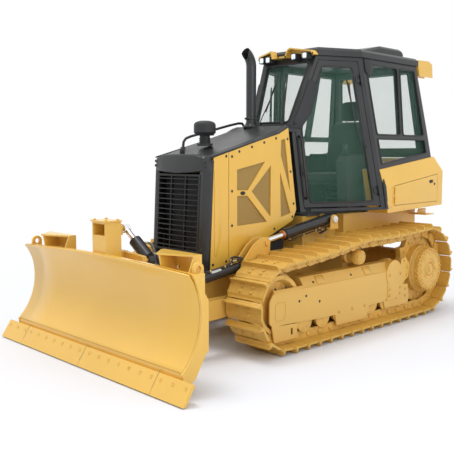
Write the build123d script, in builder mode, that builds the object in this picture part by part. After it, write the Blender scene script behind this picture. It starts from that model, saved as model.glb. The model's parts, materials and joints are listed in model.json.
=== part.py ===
"""Small crawler bulldozer with an angling and tilting blade, in millimetres.

+X is the machine's left, -Y its front, +Z up. The ground is Z = 0.
"""
from build123d import *
import math
import os

os.makedirs("parts", exist_ok=True)

# ---- driving dimensions ------------------------------------------------------------
seat_gap = 0.3          # between pieces that seat on each other
run_gap = 6.0           # between pieces that move past each other

# undercarriage
track_gauge = 1495.0
shoe_width = 406.0
shoe_count = 42
idler_y, idler_z, idler_pin_radius = -684.0, 405.0, 305.0
sprocket_y, sprocket_z, sprocket_pin_radius = 1519.0, 475.0, 375.0
sprocket_teeth = 15
carrier_y, carrier_top_z = 430.0, 818.0
top_run_sag = 14.0
link_depth = 42.0       # from the pin line in to the rail's running face
shoe_seat = 38.0        # from the pin line out to the shoe's underside
shoe_plate = 59.0       # from the pin line out to the shoe's outer face
lug_tip = 100.0         # from the pin line out to the lug's tip
rail_inner, rail_outer = 42.0, 82.0
bushing_radius = 22.0
frame_half = 92.0       # half the gap between the track frame's side plates
frame_plate = 12.0
roller_radius, roller_count = 85.0, 7
first_roller_y, last_roller_y = -370.0, 1120.0
carrier_radius = 72.0
drive_radius = 180.0
hub_radius, hub_face = 222.0, 938.0

# chassis and nose
case_half, case_bottom, case_top = 250.0, 330.0, 760.0
case_front, case_rear = -1040.0, 1700.0
hood_half = 366.0
panel_thick = 12.0
nose_front, nose_bottom, nose_lean = -1118.0, 676.0, 3.0
nose_height, nose_depth, nose_top_half = 975.0, 70.0, 307.0
grille_half, grille_low, grille_high = 280.0, 148.0, 815.0
louvre_count = 15
stack_x, stack_y, stack_radius, stack_top = -120.0, -60.0, 48.5, 2630.0
cleaner_y, cleaner_z, cleaner_radius = -772.0, 1890.0, 98.0

# cab: the door plane is x = door_x + door_yaw * y + door_lean * z,
# the quarter plane is x = quarter_x + quarter_lean * z
door_x, door_yaw, door_lean = 386.75, 0.45, -0.08
quarter_x, quarter_lean = 889.5, -0.1348
cab_bottom, cab_waist, cab_top = 1112.0, 1910.0, 2600.0
front_bottom_y, front_waist_y, front_top_y = 130.0, 82.0, 355.0
rear_bottom_y, rear_waist_y, rear_top_y = 2010.0, 1905.0, 1800.0
cab_wall = 50.0
door_thick = 40.0
door_margin = 35.0
glass_thick = 6.0
roof_thick = 78.0
tub_half, tub_rear, tub_wall = 480.0, 1500.0, 15.0
box_half, box_bottom = 720.0, 1070.0

# blade linkage
hinge_y, hinge_z = 0.0, 400.0
hinge_pin, hinge_boss = 35.0, 62.0
arm_inner, arm_outer = 440.0, 530.0
swivel_y, swivel_z = -1660.0, 350.0
lift_x = 480.0
lift_eye_y, lift_eye_z = -520.0, 894.0
lift_pivot_y, lift_pivot_z = 393.0, 1040.0
angle_pivot = (lift_x, -790.0, 712.0)
angle_eye = (lift_x, -1690.0, 590.0)
tilt_pivot = (262.0, -1600.0, 825.0)
tilt_eye = (-60.0, -1600.0, 1050.0)
blade_half, edge_half = 1143.0, 1278.0
blade_arc_y, blade_arc_z, blade_radius = -2371.0, 572.0, 532.0
blade_low, blade_top, crown_drop = 150.0, 884.0, 34.0
edge_y, edge_z = -2122.0, 10.0

track_x = track_gauge / 2


# ---- shared helpers -----------------------------------------------------------------
def keep(piece, name):
    """Label a finished piece and write its file."""
    piece.part.label = name
    export_step(piece.part, f"parts/{name}.step")


def block(xs, ys, zs, mode=Mode.ADD):
    """A box from its low and high x, y and z."""
    with BuildSketch(Plane.XY.offset(zs[0])) as base:
        with Locations(((xs[0] + xs[1]) / 2, (ys[0] + ys[1]) / 2)):
            Rectangle(xs[1] - xs[0], ys[1] - ys[0])
    extrude(base.sketch, amount=zs[1] - zs[0], mode=mode)


def side_plate(points, x0, x1, mode=Mode.ADD):
    """A side-view outline of (y, z) points, from x0 across to x1."""
    with BuildSketch(Plane.YZ.offset(x0)) as outline:
        Polygon(*points, align=None)
    extrude(outline.sketch, amount=x1 - x0, mode=mode)


def front_plate(points, y0, y1, mode=Mode.ADD):
    """A front-view outline of (x, z) points, from y0 back to y1."""
    with BuildSketch(Plane.XZ.offset(-y0)) as outline:
        Polygon(*points, align=None)
    extrude(outline.sketch, amount=y0 - y1, mode=mode)


def top_plate(points, z0, z1, mode=Mode.ADD):
    """A plan outline of (x, y) points, from z0 up to z1."""
    with BuildSketch(Plane.XY.offset(z0)) as outline:
        Polygon(*points, align=None)
    extrude(outline.sketch, amount=z1 - z0, mode=mode)


def bar(start, end, radius, mode=Mode.ADD):
    """A round bar between two points."""
    run = Vector(*end) - Vector(*start)
    with BuildSketch(Plane(origin=start, z_dir=run)) as section:
        Circle(radius)
    extrude(section.sketch, amount=run.length, mode=mode)


def turned(center, profile, mode=Mode.ADD):
    """(x offset, radius) points turned about an axle along X."""
    with BuildSketch(Plane(origin=center, x_dir=(1, 0, 0), z_dir=(0, -1, 0))) as half:
        Polygon(*profile, align=None)
    revolve(half.sketch, axis=Axis(center, (1, 0, 0)), mode=mode)


def twin(piece):
    """The same piece on the machine's other side."""
    with BuildPart() as other:
        mirror(piece.part, about=Plane.YZ)
    return other


# ---- tracks ---------------------------------------------------------------------------
def polar(center, radius, angle):
    """Point on a circle, angle in degrees from +Y towards +Z."""
    turn = math.radians(angle)
    return center[0] + radius * math.cos(turn), center[1] + radius * math.sin(turn)


def tangent_angle(first, first_radius, second, second_radius):
    """Angle of the normal shared by two circles on their upper common tangent."""
    dy, dz = second[0] - first[0], second[1] - first[1]
    reach = math.hypot(dy, dz)
    return math.degrees(math.atan2(dz, dy) + math.acos((first_radius - second_radius) / reach))


def arc_points(center, radius, start, end, step=2.0):
    count = max(2, math.ceil(abs(end - start) / step))
    return [polar(center, radius, start + (end - start) * i / count) for i in range(count + 1)]


def span_points(start, end, sag, count=24):
    """Inner points of a run between two wheels, hanging by sag at mid-span."""
    points = []
    for i in range(1, count):
        t = i / count
        y = start[0] + (end[0] - start[0]) * t
        z = start[1] + (end[1] - start[1]) * t - sag * math.sin(math.pi * t)
        points.append((y, z))
    return points


carrier_pin_radius = carrier_radius + link_depth
carrier_z = carrier_top_z - carrier_pin_radius
idler_c, carrier_c = (idler_y, idler_z), (carrier_y, carrier_z)
sprocket_c = (sprocket_y, sprocket_z)
rise_front = tangent_angle(idler_c, idler_pin_radius, carrier_c, carrier_pin_radius)
rise_rear = tangent_angle(carrier_c, carrier_pin_radius, sprocket_c, sprocket_pin_radius)

# the pin line, from the sprocket's rearmost point down, forward and back over the top
pin_line = arc_points(sprocket_c, sprocket_pin_radius, 0, -90)
pin_line += arc_points(idler_c, idler_pin_radius, 270, rise_front)
front_run = (pin_line[-1], polar(carrier_c, carrier_pin_radius, rise_front))
pin_line += span_points(*front_run, top_run_sag)
pin_line += arc_points(carrier_c, carrier_pin_radius, rise_front, rise_rear)
rear_run = (pin_line[-1], polar(sprocket_c, sprocket_pin_radius, rise_rear))
pin_line += span_points(*rear_run, top_run_sag)
pin_line += arc_points(sprocket_c, sprocket_pin_radius, rise_rear, 0)

pin_lengths = [0.0]
for before, after in zip(pin_line, pin_line[1:]):
    pin_lengths.append(pin_lengths[-1] + math.dist(before, after))
link_pitch = pin_lengths[-1] / shoe_count


def on_pin_line(length):
    """Point at a length along the pin line."""
    i = next(k for k in range(1, len(pin_lengths)) if pin_lengths[k] >= length - 1e-6)
    t = (length - pin_lengths[i - 1]) / (pin_lengths[i] - pin_lengths[i - 1])
    (y0, z0), (y1, z1) = pin_line[i - 1], pin_line[i]
    return y0 + (y1 - y0) * t, z0 + (z1 - z0) * t


pins = [on_pin_line((i + 0.5) * link_pitch) for i in range(shoe_count)]

# one shoe from its front lip to its rear lip: (share of the pitch, height over the pins)
lug_base = shoe_plate + 3
shoe_outline = [
    (-0.47, shoe_seat + 9), (-0.40, shoe_plate), (0.22, shoe_plate),
    (0.27, lug_tip), (0.36, lug_tip), (0.49, lug_base),
]


def on_link(i, share, height):
    """Point of link i, by its share of the pitch and its height over the pin line."""
    (y0, z0), (y1, z1) = pins[i], pins[(i + 1) % shoe_count]
    length = math.hypot(y1 - y0, z1 - z0)
    along_y, along_z = (y1 - y0) / length, (z1 - z0) / length
    y = (y0 + y1) / 2 + along_y * share * length - along_z * height
    z = (z0 + z1) / 2 + along_z * share * length + along_y * height
    return y, z


def joint_corner(i, height):
    """Point over pin i where the offset lines of its two links meet."""
    ahead, behind = on_link(i, -0.5, height), on_link(i - 1, 0.5, height)
    return (ahead[0] + behind[0]) / 2, (ahead[1] + behind[1]) / 2


outer_loop = [on_link(i, s, h) for i in range(shoe_count) for s, h in shoe_outline]
seat_loop = [joint_corner(i, shoe_seat) for i in range(shoe_count)]
rail_loop = [on_link(i, s, h) for i in range(shoe_count)
             for s, h in ((-0.4, -link_depth), (0.4, -link_depth))]

with BuildPart() as track_left:
    with BuildSketch(Plane.YZ.offset(track_x - shoe_width / 2)):
        Polygon(*outer_loop, align=None)
        Polygon(*seat_loop, align=None, mode=Mode.SUBTRACT)
    extrude(amount=shoe_width)
    for rail_x in (-rail_outer, rail_inner):
        with BuildSketch(Plane.YZ.offset(track_x + rail_x)):
            Polygon(*seat_loop, align=None)
            Polygon(*rail_loop, align=None, mode=Mode.SUBTRACT)
        extrude(amount=rail_outer - rail_inner)
    with BuildSketch(Plane.YZ.offset(track_x - rail_inner)):
        with Locations(*pins):
            RegularPolygon(bushing_radius, 4)
    extrude(amount=2 * rail_inner)
keep(track_left, "track_left")
keep(twin(track_left), "track_right")

# ---- wheels in the tracks -------------------------------------------------------------
chord_drop = 1 - math.cos(link_pitch / 2 / idler_pin_radius)
idler_rim = idler_pin_radius * (1 - chord_drop) - link_depth - seat_gap
idler_flange = idler_rim + 24
idler_profile = [
    (-rail_outer, 0), (-rail_outer, 62), (-rail_inner, 74), (-26, idler_rim - 60),
    (-rail_outer, idler_rim - 34), (-rail_outer, idler_rim), (-rail_inner + 6, idler_rim),
    (-rail_inner + 12, idler_flange), (rail_inner - 12, idler_flange),
    (rail_inner - 6, idler_rim), (rail_outer, idler_rim), (rail_outer, idler_rim - 34),
    (26, idler_rim - 60), (rail_inner, 74), (rail_outer, 62), (rail_outer, 0),
]
with BuildPart() as idlers:
    turned((track_x, idler_y, idler_z), idler_profile)
    mirror(about=Plane.YZ)
keep(idlers, "idlers")

# track and carrier rollers: the flanges run outside the rails
roller_z = sprocket_z - sprocket_pin_radius + link_depth + roller_radius + seat_gap
roller_flange = 16.0
roller_profile = [
    (-frame_half, 0), (-frame_half, 40), (-rail_outer - 8, roller_radius + roller_flange),
    (-rail_outer - 2, roller_radius + roller_flange), (-rail_outer - 1, roller_radius),
    (-rail_inner, roller_radius), (-rail_inner + 14, roller_radius - 22),
    (rail_inner - 14, roller_radius - 22), (rail_inner, roller_radius),
    (rail_outer + 1, roller_radius), (rail_outer + 2, roller_radius + roller_flange),
    (rail_outer + 8, roller_radius + roller_flange), (frame_half, 40), (frame_half, 0),
]
roller_step = (last_roller_y - first_roller_y) / (roller_count - 1)


def room_inside(loop, center):
    """Shortest distance from a point to a closed outline."""
    room = math.inf
    for (y0, z0), (y1, z1) in zip(loop, loop[1:] + loop[:1]):
        run = (y1 - y0) ** 2 + (z1 - z0) ** 2
        t = ((center[0] - y0) * (y1 - y0) + (center[1] - z0) * (z1 - z0)) / run
        t = min(1, max(0, t))
        room = min(room, math.dist(center, (y0 + t * (y1 - y0), z0 + t * (z1 - z0))))
    return room


carrier_axle_z = carrier_z - carrier_radius - seat_gap + room_inside(rail_loop, carrier_c)
with BuildPart() as track_rollers:
    for i in range(roller_count):
        turned((track_x, first_roller_y + i * roller_step, roller_z), roller_profile)
    turned((track_x, carrier_y, carrier_axle_z), [
        (-rail_outer, 0), (-rail_outer, carrier_radius), (-rail_inner, carrier_radius),
        (-rail_inner + 14, carrier_radius - 18), (rail_inner - 14, carrier_radius - 18),
        (rail_inner, carrier_radius), (rail_outer, carrier_radius),
        (rail_outer + 8, carrier_radius - 4), (rail_outer + 24, carrier_radius - 10),
        (rail_outer + 24, carrier_radius - 20), (rail_outer + 18, carrier_radius - 26),
        (rail_outer + 18, 0),
    ])
    mirror(about=Plane.YZ)
keep(track_rollers, "track_rollers")

# sprocket: one tooth in each gap between bushings, on a bolted ring
sprocket_bore = 200.0
sprocket_half = 28.0
tooth_pitch = 360 / sprocket_teeth
tooth_root = sprocket_pin_radius - bushing_radius - 14
tooth_tip = sprocket_pin_radius + 12
# (angle from the tooth's middle as a share of the pitch, radius)
tooth_outline = [(-0.40, tooth_root), (-0.17, tooth_root + 24), (-0.07, tooth_tip),
                 (0.07, tooth_tip), (0.17, tooth_root + 24), (0.40, tooth_root)]
sprocket_loop = [polar(sprocket_c, r, (i + share) * tooth_pitch)
                 for i in range(sprocket_teeth) for share, r in tooth_outline]
with BuildPart() as sprockets:
    with BuildSketch(Plane.YZ.offset(track_x - sprocket_half)):
        Polygon(*sprocket_loop, align=None)
        with Locations(sprocket_c):
            Circle(sprocket_bore, mode=Mode.SUBTRACT)
            with PolarLocations(tooth_root - 32, sprocket_teeth):
                Circle(9, mode=Mode.SUBTRACT)
    extrude(amount=2 * sprocket_half)
    mirror(about=Plane.YZ)
keep(sprockets, "sprockets")

# final drive: neck from the case, flange against the sprocket, scalloped hub cover
flange_radius, scallops, scallop_radius = 243.0, 28, 11.0
hub_inner = hub_face - 58
with BuildPart() as final_drives:
    turned((0, sprocket_y, sprocket_z), [
        (case_half + seat_gap, 0), (case_half + seat_gap, drive_radius),
        (track_x - frame_half - 20, drive_radius), (track_x - frame_half + 10, flange_radius - 60),
        (track_x - sprocket_half - seat_gap, flange_radius - 60),
        (track_x - sprocket_half - seat_gap, sprocket_bore - seat_gap),
        (track_x + sprocket_half + seat_gap, sprocket_bore - seat_gap),
        (track_x + sprocket_half + seat_gap, flange_radius),
        (track_x + frame_half, flange_radius), (track_x + frame_half + 12, flange_radius - 14),
        (track_x + frame_half + 12, hub_radius + 12), (hub_inner, hub_radius),
        (hub_face - 10, hub_radius), (hub_face, hub_radius - 10), (hub_face, 74),
        (hub_face - 12, 66), (hub_face - 12, 0),
    ])
    # scallops round the hub cover's rim
    with BuildSketch(Plane.YZ.offset(hub_face - 34)):
        with Locations(sprocket_c):
            with PolarLocations(hub_radius + 3, scallops):
                Circle(scallop_radius)
    extrude(amount=40, mode=Mode.SUBTRACT)
    mirror(about=Plane.YZ)
keep(final_drives, "final_drives")

# ---- track frames ---------------------------------------------------------------------
frame_outer = track_x + frame_half
frame_inner = track_x - frame_half
beam_low, beam_high = roller_z + roller_radius + roller_flange + 12, 508.0
idler_clear = idler_flange + 12
plate_front, plate_rear = -834.0, 1150.0
side_high, frame_top = 515.0, 600.0
band_front, band_rear, band_proud = 880.0, 1120.0, 6.0
hump_y, hump_z, hump_radius = 985.0, 480.0, 135.0
face_x = frame_outer + frame_plate
facet_x = face_x - 62
frame_outline = [
    (plate_front, 453), (plate_front, 279), (plate_front + 36, 240), (-632, 240), (-110, 213),
    (plate_rear, 225), (plate_rear, 377), (band_rear, side_high - 12), (plate_front + 40, side_high),
]
# (front y, rear y, depth below the side plates) of the roller guards
guards = ((-805, -475, 118), (35, 560, 110), (808, 1270, 70))
with BuildPart() as track_frame_left:
    side_plate(frame_outline, frame_outer, face_x)
    side_plate(frame_outline, frame_inner - frame_plate, frame_inner)
    # box beam over the rollers, its outer edge cut back to a long facet
    beam_front, beam_rear = idler_y + idler_clear, sprocket_y - tooth_tip - 2 * run_gap
    front_plate([(frame_inner - frame_plate, beam_low), (face_x, beam_low), (face_x, side_high),
                 (facet_x, frame_top), (frame_inner + 50, frame_top), (frame_inner - frame_plate, side_high)],
                beam_front, band_rear - 60)
    side_plate([(beam_front, beam_low), (beam_rear, beam_low), (beam_rear, beam_high - 60),
                (beam_front, beam_high - 60)], frame_inner, frame_outer)
    # narrow end of the facet beside the idler
    front_plate([(face_x, side_high), (face_x - 16, side_high + 24), (face_x - 20, side_high + 24),
                 (face_x - 20, side_high - 30), (face_x, side_high - 30)], plate_front + 60, beam_front)
    # raised band round the beam, humped over the pivot shaft
    side_plate([(band_front, 225), (band_rear, 225), (band_rear, hump_z), (band_front, hump_z)],
               face_x - 8, face_x + band_proud)
    with BuildSketch(Plane.YZ.offset(facet_x - 70)):
        with Locations((hump_y, hump_z)):
            Circle(hump_radius)
    extrude(amount=band_proud + 70 + face_x - facet_x)
    block((facet_x - 40, facet_x + 8), (hump_y - 20, hump_y + 20), (frame_top, frame_top + 24))
    # bracket that reaches back to the final drive
    side_plate([(band_rear - 20, 500), (band_rear - 5, 610), (1190, 628), (1262, 560), (1252, 420),
                (1180, 385), (1150, 352), (1246, 345), (1262, 215), (1150, 225)],
               frame_outer + 0.5, face_x)
    # idler axle block on each side plate
    for x0 in (frame_inner - frame_plate, frame_outer - 6):
        bar((x0, idler_y, idler_z), (x0 + frame_plate + 6, idler_y, idler_z), 55)
    # rounded pocket stamped over the idler's axle
    with BuildSketch(Plane.YZ.offset(face_x - 3)):
        with Locations((idler_y - 20, (445 + 271) / 2)):
            RectangleRounded(130, 160, 40)
            RectangleRounded(118, 148, 34, mode=Mode.SUBTRACT)
    extrude(amount=10, mode=Mode.SUBTRACT)
    # post of the carrier roller
    block((frame_inner, frame_inner + 9), (carrier_y - 40, carrier_y + 40),
          (beam_high, carrier_z + 30))
    # roller guards under the side plates
    for y0, y1, drop in guards:
        for x0 in (frame_outer, frame_inner - frame_plate):
            side_plate([(y0 + 30, 215 - drop + 6), (y1 - 20, 215 - drop), (y1, 226), (y0, 244)],
                       x0, x0 + frame_plate)
    # grease slot in the front guard
    side_plate([(-566, 140), (-542, 140), (-542, 196), (-566, 196)], frame_outer - 5, face_x + 5,
               mode=Mode.SUBTRACT)
keep(track_frame_left, "track_frame_left")
keep(twin(track_frame_left), "track_frame_right")

# ---- chassis --------------------------------------------------------------------------
body_half_front, body_half_rear, body_rear, body_step_y = 380.0, tub_half, 1960.0, 640.0
cross_members = ((200.0, 400.0), (1000.0, 1150.0))
with BuildPart() as main_frame:
    side_plate([(case_front, case_bottom + 150), (case_front + 150, case_bottom),
                (case_rear - 120, case_bottom), (case_rear, case_bottom + 140),
                (case_rear, case_top), (case_front, case_top)], -case_half, case_half)
    # body under the cab, narrow beside the lift cylinders and wide behind them
    block((-body_half_front, body_half_front), (front_bottom_y, body_step_y),
          (case_top, box_bottom))
    side_plate([(body_step_y, case_top), (case_rear, case_top), (body_rear, case_top + 130),
                (body_rear, box_bottom), (body_step_y, box_bottom)],
               -body_half_rear, body_half_rear)
    # cross members to the track frames
    for y0, y1 in cross_members:
        block((-frame_inner + frame_plate, frame_inner - frame_plate), (y0, y1),
              (beam_low, beam_high))
    # shelf that carries the nose
    block((-hood_half + 12, hood_half - 12), (nose_front + 4, case_front + 40),
          (nose_bottom - 34, nose_bottom - nose_depth * math.sin(math.radians(nose_lean)) - seat_gap))
    # hinge bosses and pins of the blade's push frame
    hinge_reach = track_x - shoe_width / 2 - run_gap
    for side in (-1, 1):
        bar((0, hinge_y, hinge_z), (side * (arm_inner - run_gap), hinge_y, hinge_z), 80)
        bar((0, hinge_y, hinge_z), (side * hinge_reach, hinge_y, hinge_z), hinge_pin)
keep(main_frame, "main_frame")

hitch_hole = 20.0
hitch_y, hitch_z = 1900.0, 440.0
with BuildPart() as rear_hitch:
    hitch_half, ear_thick, ear_gap = 80.0, 28.0, 70.0
    block((-hitch_half, hitch_half), (case_rear, case_rear + 40), (case_bottom + 150, 620))
    for z0 in (hitch_z + ear_gap / 2, hitch_z + ear_gap * 1.5 + ear_thick):
        with BuildSketch(Plane.XY.offset(z0)):
            with Locations((0, (case_rear + 40 + hitch_y) / 2)):
                Rectangle(2 * hitch_half, hitch_y - case_rear - 40)
            with Locations((0, hitch_y)):
                Circle(hitch_half)
                Circle(hitch_hole, mode=Mode.SUBTRACT)
        extrude(amount=ear_thick)
keep(rear_hitch, "rear_hitch")

with BuildPart() as engine_block:
    block((-240, 240), (-650, 20), (case_top, 1450))
keep(engine_block, "engine_block")

with BuildPart() as radiator:
    block((-300, 300), (-1000, -880), (case_top, 1490))
keep(radiator, "radiator")

# ---- nose and hood --------------------------------------------------------------------
nose_plane = Plane(origin=(0, nose_front, nose_bottom), x_dir=(1, 0, 0),
                   z_dir=(0, -math.cos(math.radians(nose_lean)), math.sin(math.radians(nose_lean))))


def nose_y(z, depth=0.0):
    """Front face of the nose at a height, or a plane behind it."""
    return nose_front + (z - nose_bottom) * math.tan(math.radians(nose_lean)) + depth


nose_shoulder = 925.0
with BuildPart() as nose_casing:
    with BuildSketch(nose_plane):
        Polygon((-hood_half, 0), (hood_half, 0), (hood_half, nose_shoulder),
                (nose_top_half, nose_height), (-nose_top_half, nose_height),
                (-hood_half, nose_shoulder), align=None)
        with Locations((0, (grille_low + grille_high) / 2)):
            Rectangle(2 * grille_half, grille_high - grille_low, mode=Mode.SUBTRACT)
    extrude(amount=-nose_depth)
    # fins at both front corners
    fin_inner = hood_half - 24
    for x0 in (-hood_half, fin_inner):
        with BuildSketch(nose_plane):
            with Locations((x0 + 12, nose_shoulder / 2 + 20)):
                Rectangle(24, nose_shoulder - 60)
        extrude(amount=26)
keep(nose_casing, "nose_casing")

louvre_rise = (grille_high - grille_low) / louvre_count
louvre_depth, louvre_thick, louvre_bow = 34.0, 7.0, 14.0
with BuildPart() as grille:
    with BuildSketch(nose_plane.offset(-20)):
        with Locations((0, (grille_low + grille_high) / 2)):
            Rectangle(2 * grille_half - 2 * seat_gap, grille_high - grille_low - 2 * seat_gap)
            Rectangle(2 * grille_half - 36, grille_high - grille_low - 36, mode=Mode.SUBTRACT)
        for rib_x in (-grille_half / 3, grille_half / 3):
            with Locations((rib_x, (grille_low + grille_high) / 2)):
                Rectangle(12, grille_high - grille_low - 20)
    extrude(amount=24)
    for i in range(1, louvre_count):
        with BuildSketch(Plane(origin=(0, nose_y(nose_bottom + grille_low + i * louvre_rise),
                                       nose_bottom + grille_low + i * louvre_rise))):
            with BuildLine():
                tip = grille_half - 12
                ThreePointArc((-tip, -8), (0, -8 - louvre_bow), (tip, -8))
                Polyline((tip, -8), (tip, louvre_depth - 8), (-tip, louvre_depth - 8), (-tip, -8))
            make_face()
        extrude(amount=louvre_thick)
keep(grille, "grille")

# hood side panels: a fixed strip beside the nose and a large panel with three windows
panel_seam = -829.0
panel_edge = {"nose_low": (nose_y(690, nose_depth + seat_gap), 690.0),
              "heel": (-788.0, 714.0), "step": (-520.0, 839.0), "tail": (0.0, 1040.0),
              "rear": (55.0, 1141.0), "peak": (-71.0, 1907.0), "kink": (-193.0, 1849.0)}
panel_top_front = (nose_y(1650, nose_depth + seat_gap), 1631.0)


def on_edge(first, second, y):
    """Height at y of the line through two (y, z) points."""
    (y0, z0), (y1, z1) = first, second
    return z0 + (z1 - z0) * (y - y0) / (y1 - y0)


seam_low = on_edge(panel_edge["nose_low"], panel_edge["heel"], panel_seam)
seam_high = on_edge(panel_top_front, panel_edge["kink"], panel_seam)
panel_windows = [
    [(-730, 1527), (-380, 1593), (-594, 1346), (-729, 1350)],
    [(-300, 1560), (-302, 1094), (-549, 1334)],
    [(-728, 1298), (-602, 1298), (-350, 1053), (-727, 1040)],
    [(-177, 1498), (-26, 1112), (-161, 1082)],
    [(-171, 1652), (-165, 1790), (-112, 1800), (-30, 1305)],
]
with BuildPart() as hood_panels:
    side_plate([panel_edge["nose_low"], (panel_seam - 3, seam_low), (panel_seam - 3, seam_high),
                panel_top_front], hood_half - panel_thick, hood_half)
    side_plate([(panel_seam + 3, seam_low), panel_edge["heel"], panel_edge["step"],
                panel_edge["tail"], panel_edge["rear"], panel_edge["peak"], panel_edge["kink"],
                (panel_seam + 3, seam_high)], hood_half - panel_thick, hood_half)
    for window in panel_windows:
        side_plate(window, hood_half - panel_thick, hood_half, mode=Mode.SUBTRACT)
    mirror(about=Plane.YZ)
keep(hood_panels, "hood_panels")

screen_thick = 3.0
screen_outer = hood_half - panel_thick - seat_gap
with BuildPart() as hood_screens:
    side_plate([(-760, 1010), (-330, 1010), (-200, 1060), (10, 1090), (-5, 1320), (-95, 1808),
                (-190, 1804), (-210, 1640), (-760, 1560)], screen_outer - screen_thick, screen_outer)
    mirror(about=Plane.YZ)
keep(hood_screens, "hood_screens")

hood_skin = 14.0
hood_rear = front_waist_y - seat_gap
hood_line = [(panel_top_front[0], 1650.0), (panel_edge["kink"][0], 1876.0),
             (panel_edge["peak"][0], 1925.0), (hood_rear, 1932.0)]
hood_corner = 59.0
hood_hem = 1.0
hood_lip = 40.0
low_line = [(y, z + hood_hem) for y, z in (panel_top_front, panel_edge["kink"], panel_edge["peak"])]
low_line.append((hood_rear, low_line[-1][1]))


def hood_form(half, drop, skin, ends, mode):
    """Chamfered tunnel under the hood line: half width, depth of its sides, skin, end inset."""
    stations = [(y, low, top) for (y, low), (_, top) in zip(low_line, hood_line)]
    stations[0] = (stations[0][0] + ends, *stations[0][1:])
    stations[-1] = (stations[-1][0] - ends, *stations[-1][1:])
    sections = []
    for y, low, top in stations:
        with BuildSketch(Plane.XZ.offset(-y)) as section:
            Polygon((-half, low - drop), (-half, low + 4), (hood_corner - half, top - skin),
                    (half - hood_corner, top - skin), (half, low + 4), (half, low - drop),
                    align=None)
        sections.append(section.sketch.face())
    for before, after in zip(sections, sections[1:]):
        loft([before, after], ruled=True, mode=mode)


with BuildPart() as hood_top:
    inner_half = hood_half - panel_thick - seat_gap
    hood_form(inner_half, hood_lip, 0, 0, Mode.ADD)
    hood_form(hood_half, 0, 0, 0, Mode.ADD)
    hood_form(inner_half - hood_skin, 2 * hood_lip, hood_skin, hood_skin, Mode.SUBTRACT)
    bar((stack_x, stack_y, 1700), (stack_x, stack_y, 2000), stack_radius + 3, mode=Mode.SUBTRACT)
keep(hood_top, "hood_top")

stack_wall = 4.0
stack_bend, stack_turn = 150.0, 62.0
with BuildPart() as exhaust_stack:
    bend_z = stack_top - 138
    elbow_axis = Axis((stack_x, stack_y - stack_bend, bend_z), (1, 0, 0))
    for radius, foot_z, mode in ((stack_radius, 1450, Mode.ADD),
                                 (stack_radius - stack_wall, 1700, Mode.SUBTRACT)):
        bar((stack_x, stack_y, foot_z), (stack_x, stack_y, bend_z), radius, mode=mode)
        with BuildSketch(Plane((stack_x, stack_y, bend_z))) as elbow:
            Circle(radius)
        revolve(elbow.sketch, axis=elbow_axis, revolution_arc=stack_turn, mode=mode)
    # mouth cut nearly upright
    side_plate([(stack_y - 50, bend_z - 60), (stack_y - 53, bend_z + 20), (stack_y - 92, stack_top),
                (stack_y - 96, stack_top + 40), (stack_y - 320, stack_top + 40),
                (stack_y - 320, bend_z - 60)], stack_x - 100, stack_x + 100, mode=Mode.SUBTRACT)
keep(exhaust_stack, "exhaust_stack")


def hood_z(y):
    """Height of the hood's outer face on its long front slope."""
    return on_edge(hood_line[0], hood_line[1], y)


cleaner_height, cleaner_foot = 130.0, 70.0
with BuildPart() as precleaner:
    foot_z = hood_z(cleaner_y + cleaner_foot) + seat_gap
    bar((0, cleaner_y, foot_z), (0, cleaner_y, foot_z + 22), cleaner_foot)
    bar((0, cleaner_y, foot_z + 10), (0, cleaner_y, cleaner_z), 46)
    # ribs of the rubber neck
    for rib_z in (foot_z + 30, foot_z + 46, foot_z + 62):
        bar((0, cleaner_y, rib_z), (0, cleaner_y, rib_z + 7), 53)
    with BuildSketch(Plane(origin=(0, cleaner_y, cleaner_z - cleaner_height / 2), x_dir=(1, 0, 0),
                           z_dir=(0, -1, 0))):
        Polygon((0, 0), (cleaner_radius - 22, 0), (cleaner_radius, 26), (cleaner_radius, 84),
                (cleaner_radius - 20, 114), (cleaner_radius - 50, 128), (0, cleaner_height),
                align=None)
    revolve(axis=Axis((0, cleaner_y, 0), (0, 0, 1)))
keep(precleaner, "precleaner")

# ---- cab ------------------------------------------------------------------------------
def door_face_x(y, z):
    return door_x + door_yaw * y + door_lean * z


def quarter_face_x(z):
    return quarter_x + quarter_lean * z


def post_y(z):
    """Where the door plane meets the quarter plane."""
    return (quarter_face_x(z) - door_x - door_lean * z) / door_yaw


def cab_plan(z, front_y, rear_y, inset=0.0):
    """Half plan of the cab at a height, as (x, y) points from the front corner back."""
    shift = inset * math.hypot(1, door_yaw)
    front, rear = front_y + inset, rear_y - inset
    side = quarter_face_x(z) - inset
    corner = (side + shift - door_x - door_lean * z) / door_yaw
    half = [(door_face_x(front, z) - shift, front), (side, corner), (side, rear)]
    return half + [(-x, y) for x, y in reversed(half)]


cab_levels = [(cab_bottom, front_bottom_y, rear_bottom_y), (cab_waist, front_waist_y, rear_waist_y),
              (cab_top, front_top_y, rear_top_y)]


def cab_body(inset, mode):
    """The cab's closed form between its levels, moved in by inset."""
    for lower, upper in zip(cab_levels, cab_levels[1:]):
        with BuildSketch(Plane.XY.offset(lower[0])) as bottom:
            Polygon(*cab_plan(*lower, inset), align=None)
        with BuildSketch(Plane.XY.offset(upper[0])) as top:
            Polygon(*cab_plan(*upper, inset), align=None)
        loft([bottom.sketch.face(), top.sketch.face()], ruled=True, mode=mode)


door_origin = Vector(door_face_x(0, 0), 0, 0)
door_normal = Vector(1, -door_yaw, -door_lean).normalized()
door_plane = Plane(origin=door_origin, x_dir=(door_yaw, 1, 0), z_dir=door_normal)


def on_door(y, z):
    """Local coordinates on the door plane of the point at y and z."""
    local = door_plane.to_local_coords(Vector(door_face_x(y, z), y, z))
    return local.X, local.Y


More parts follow.
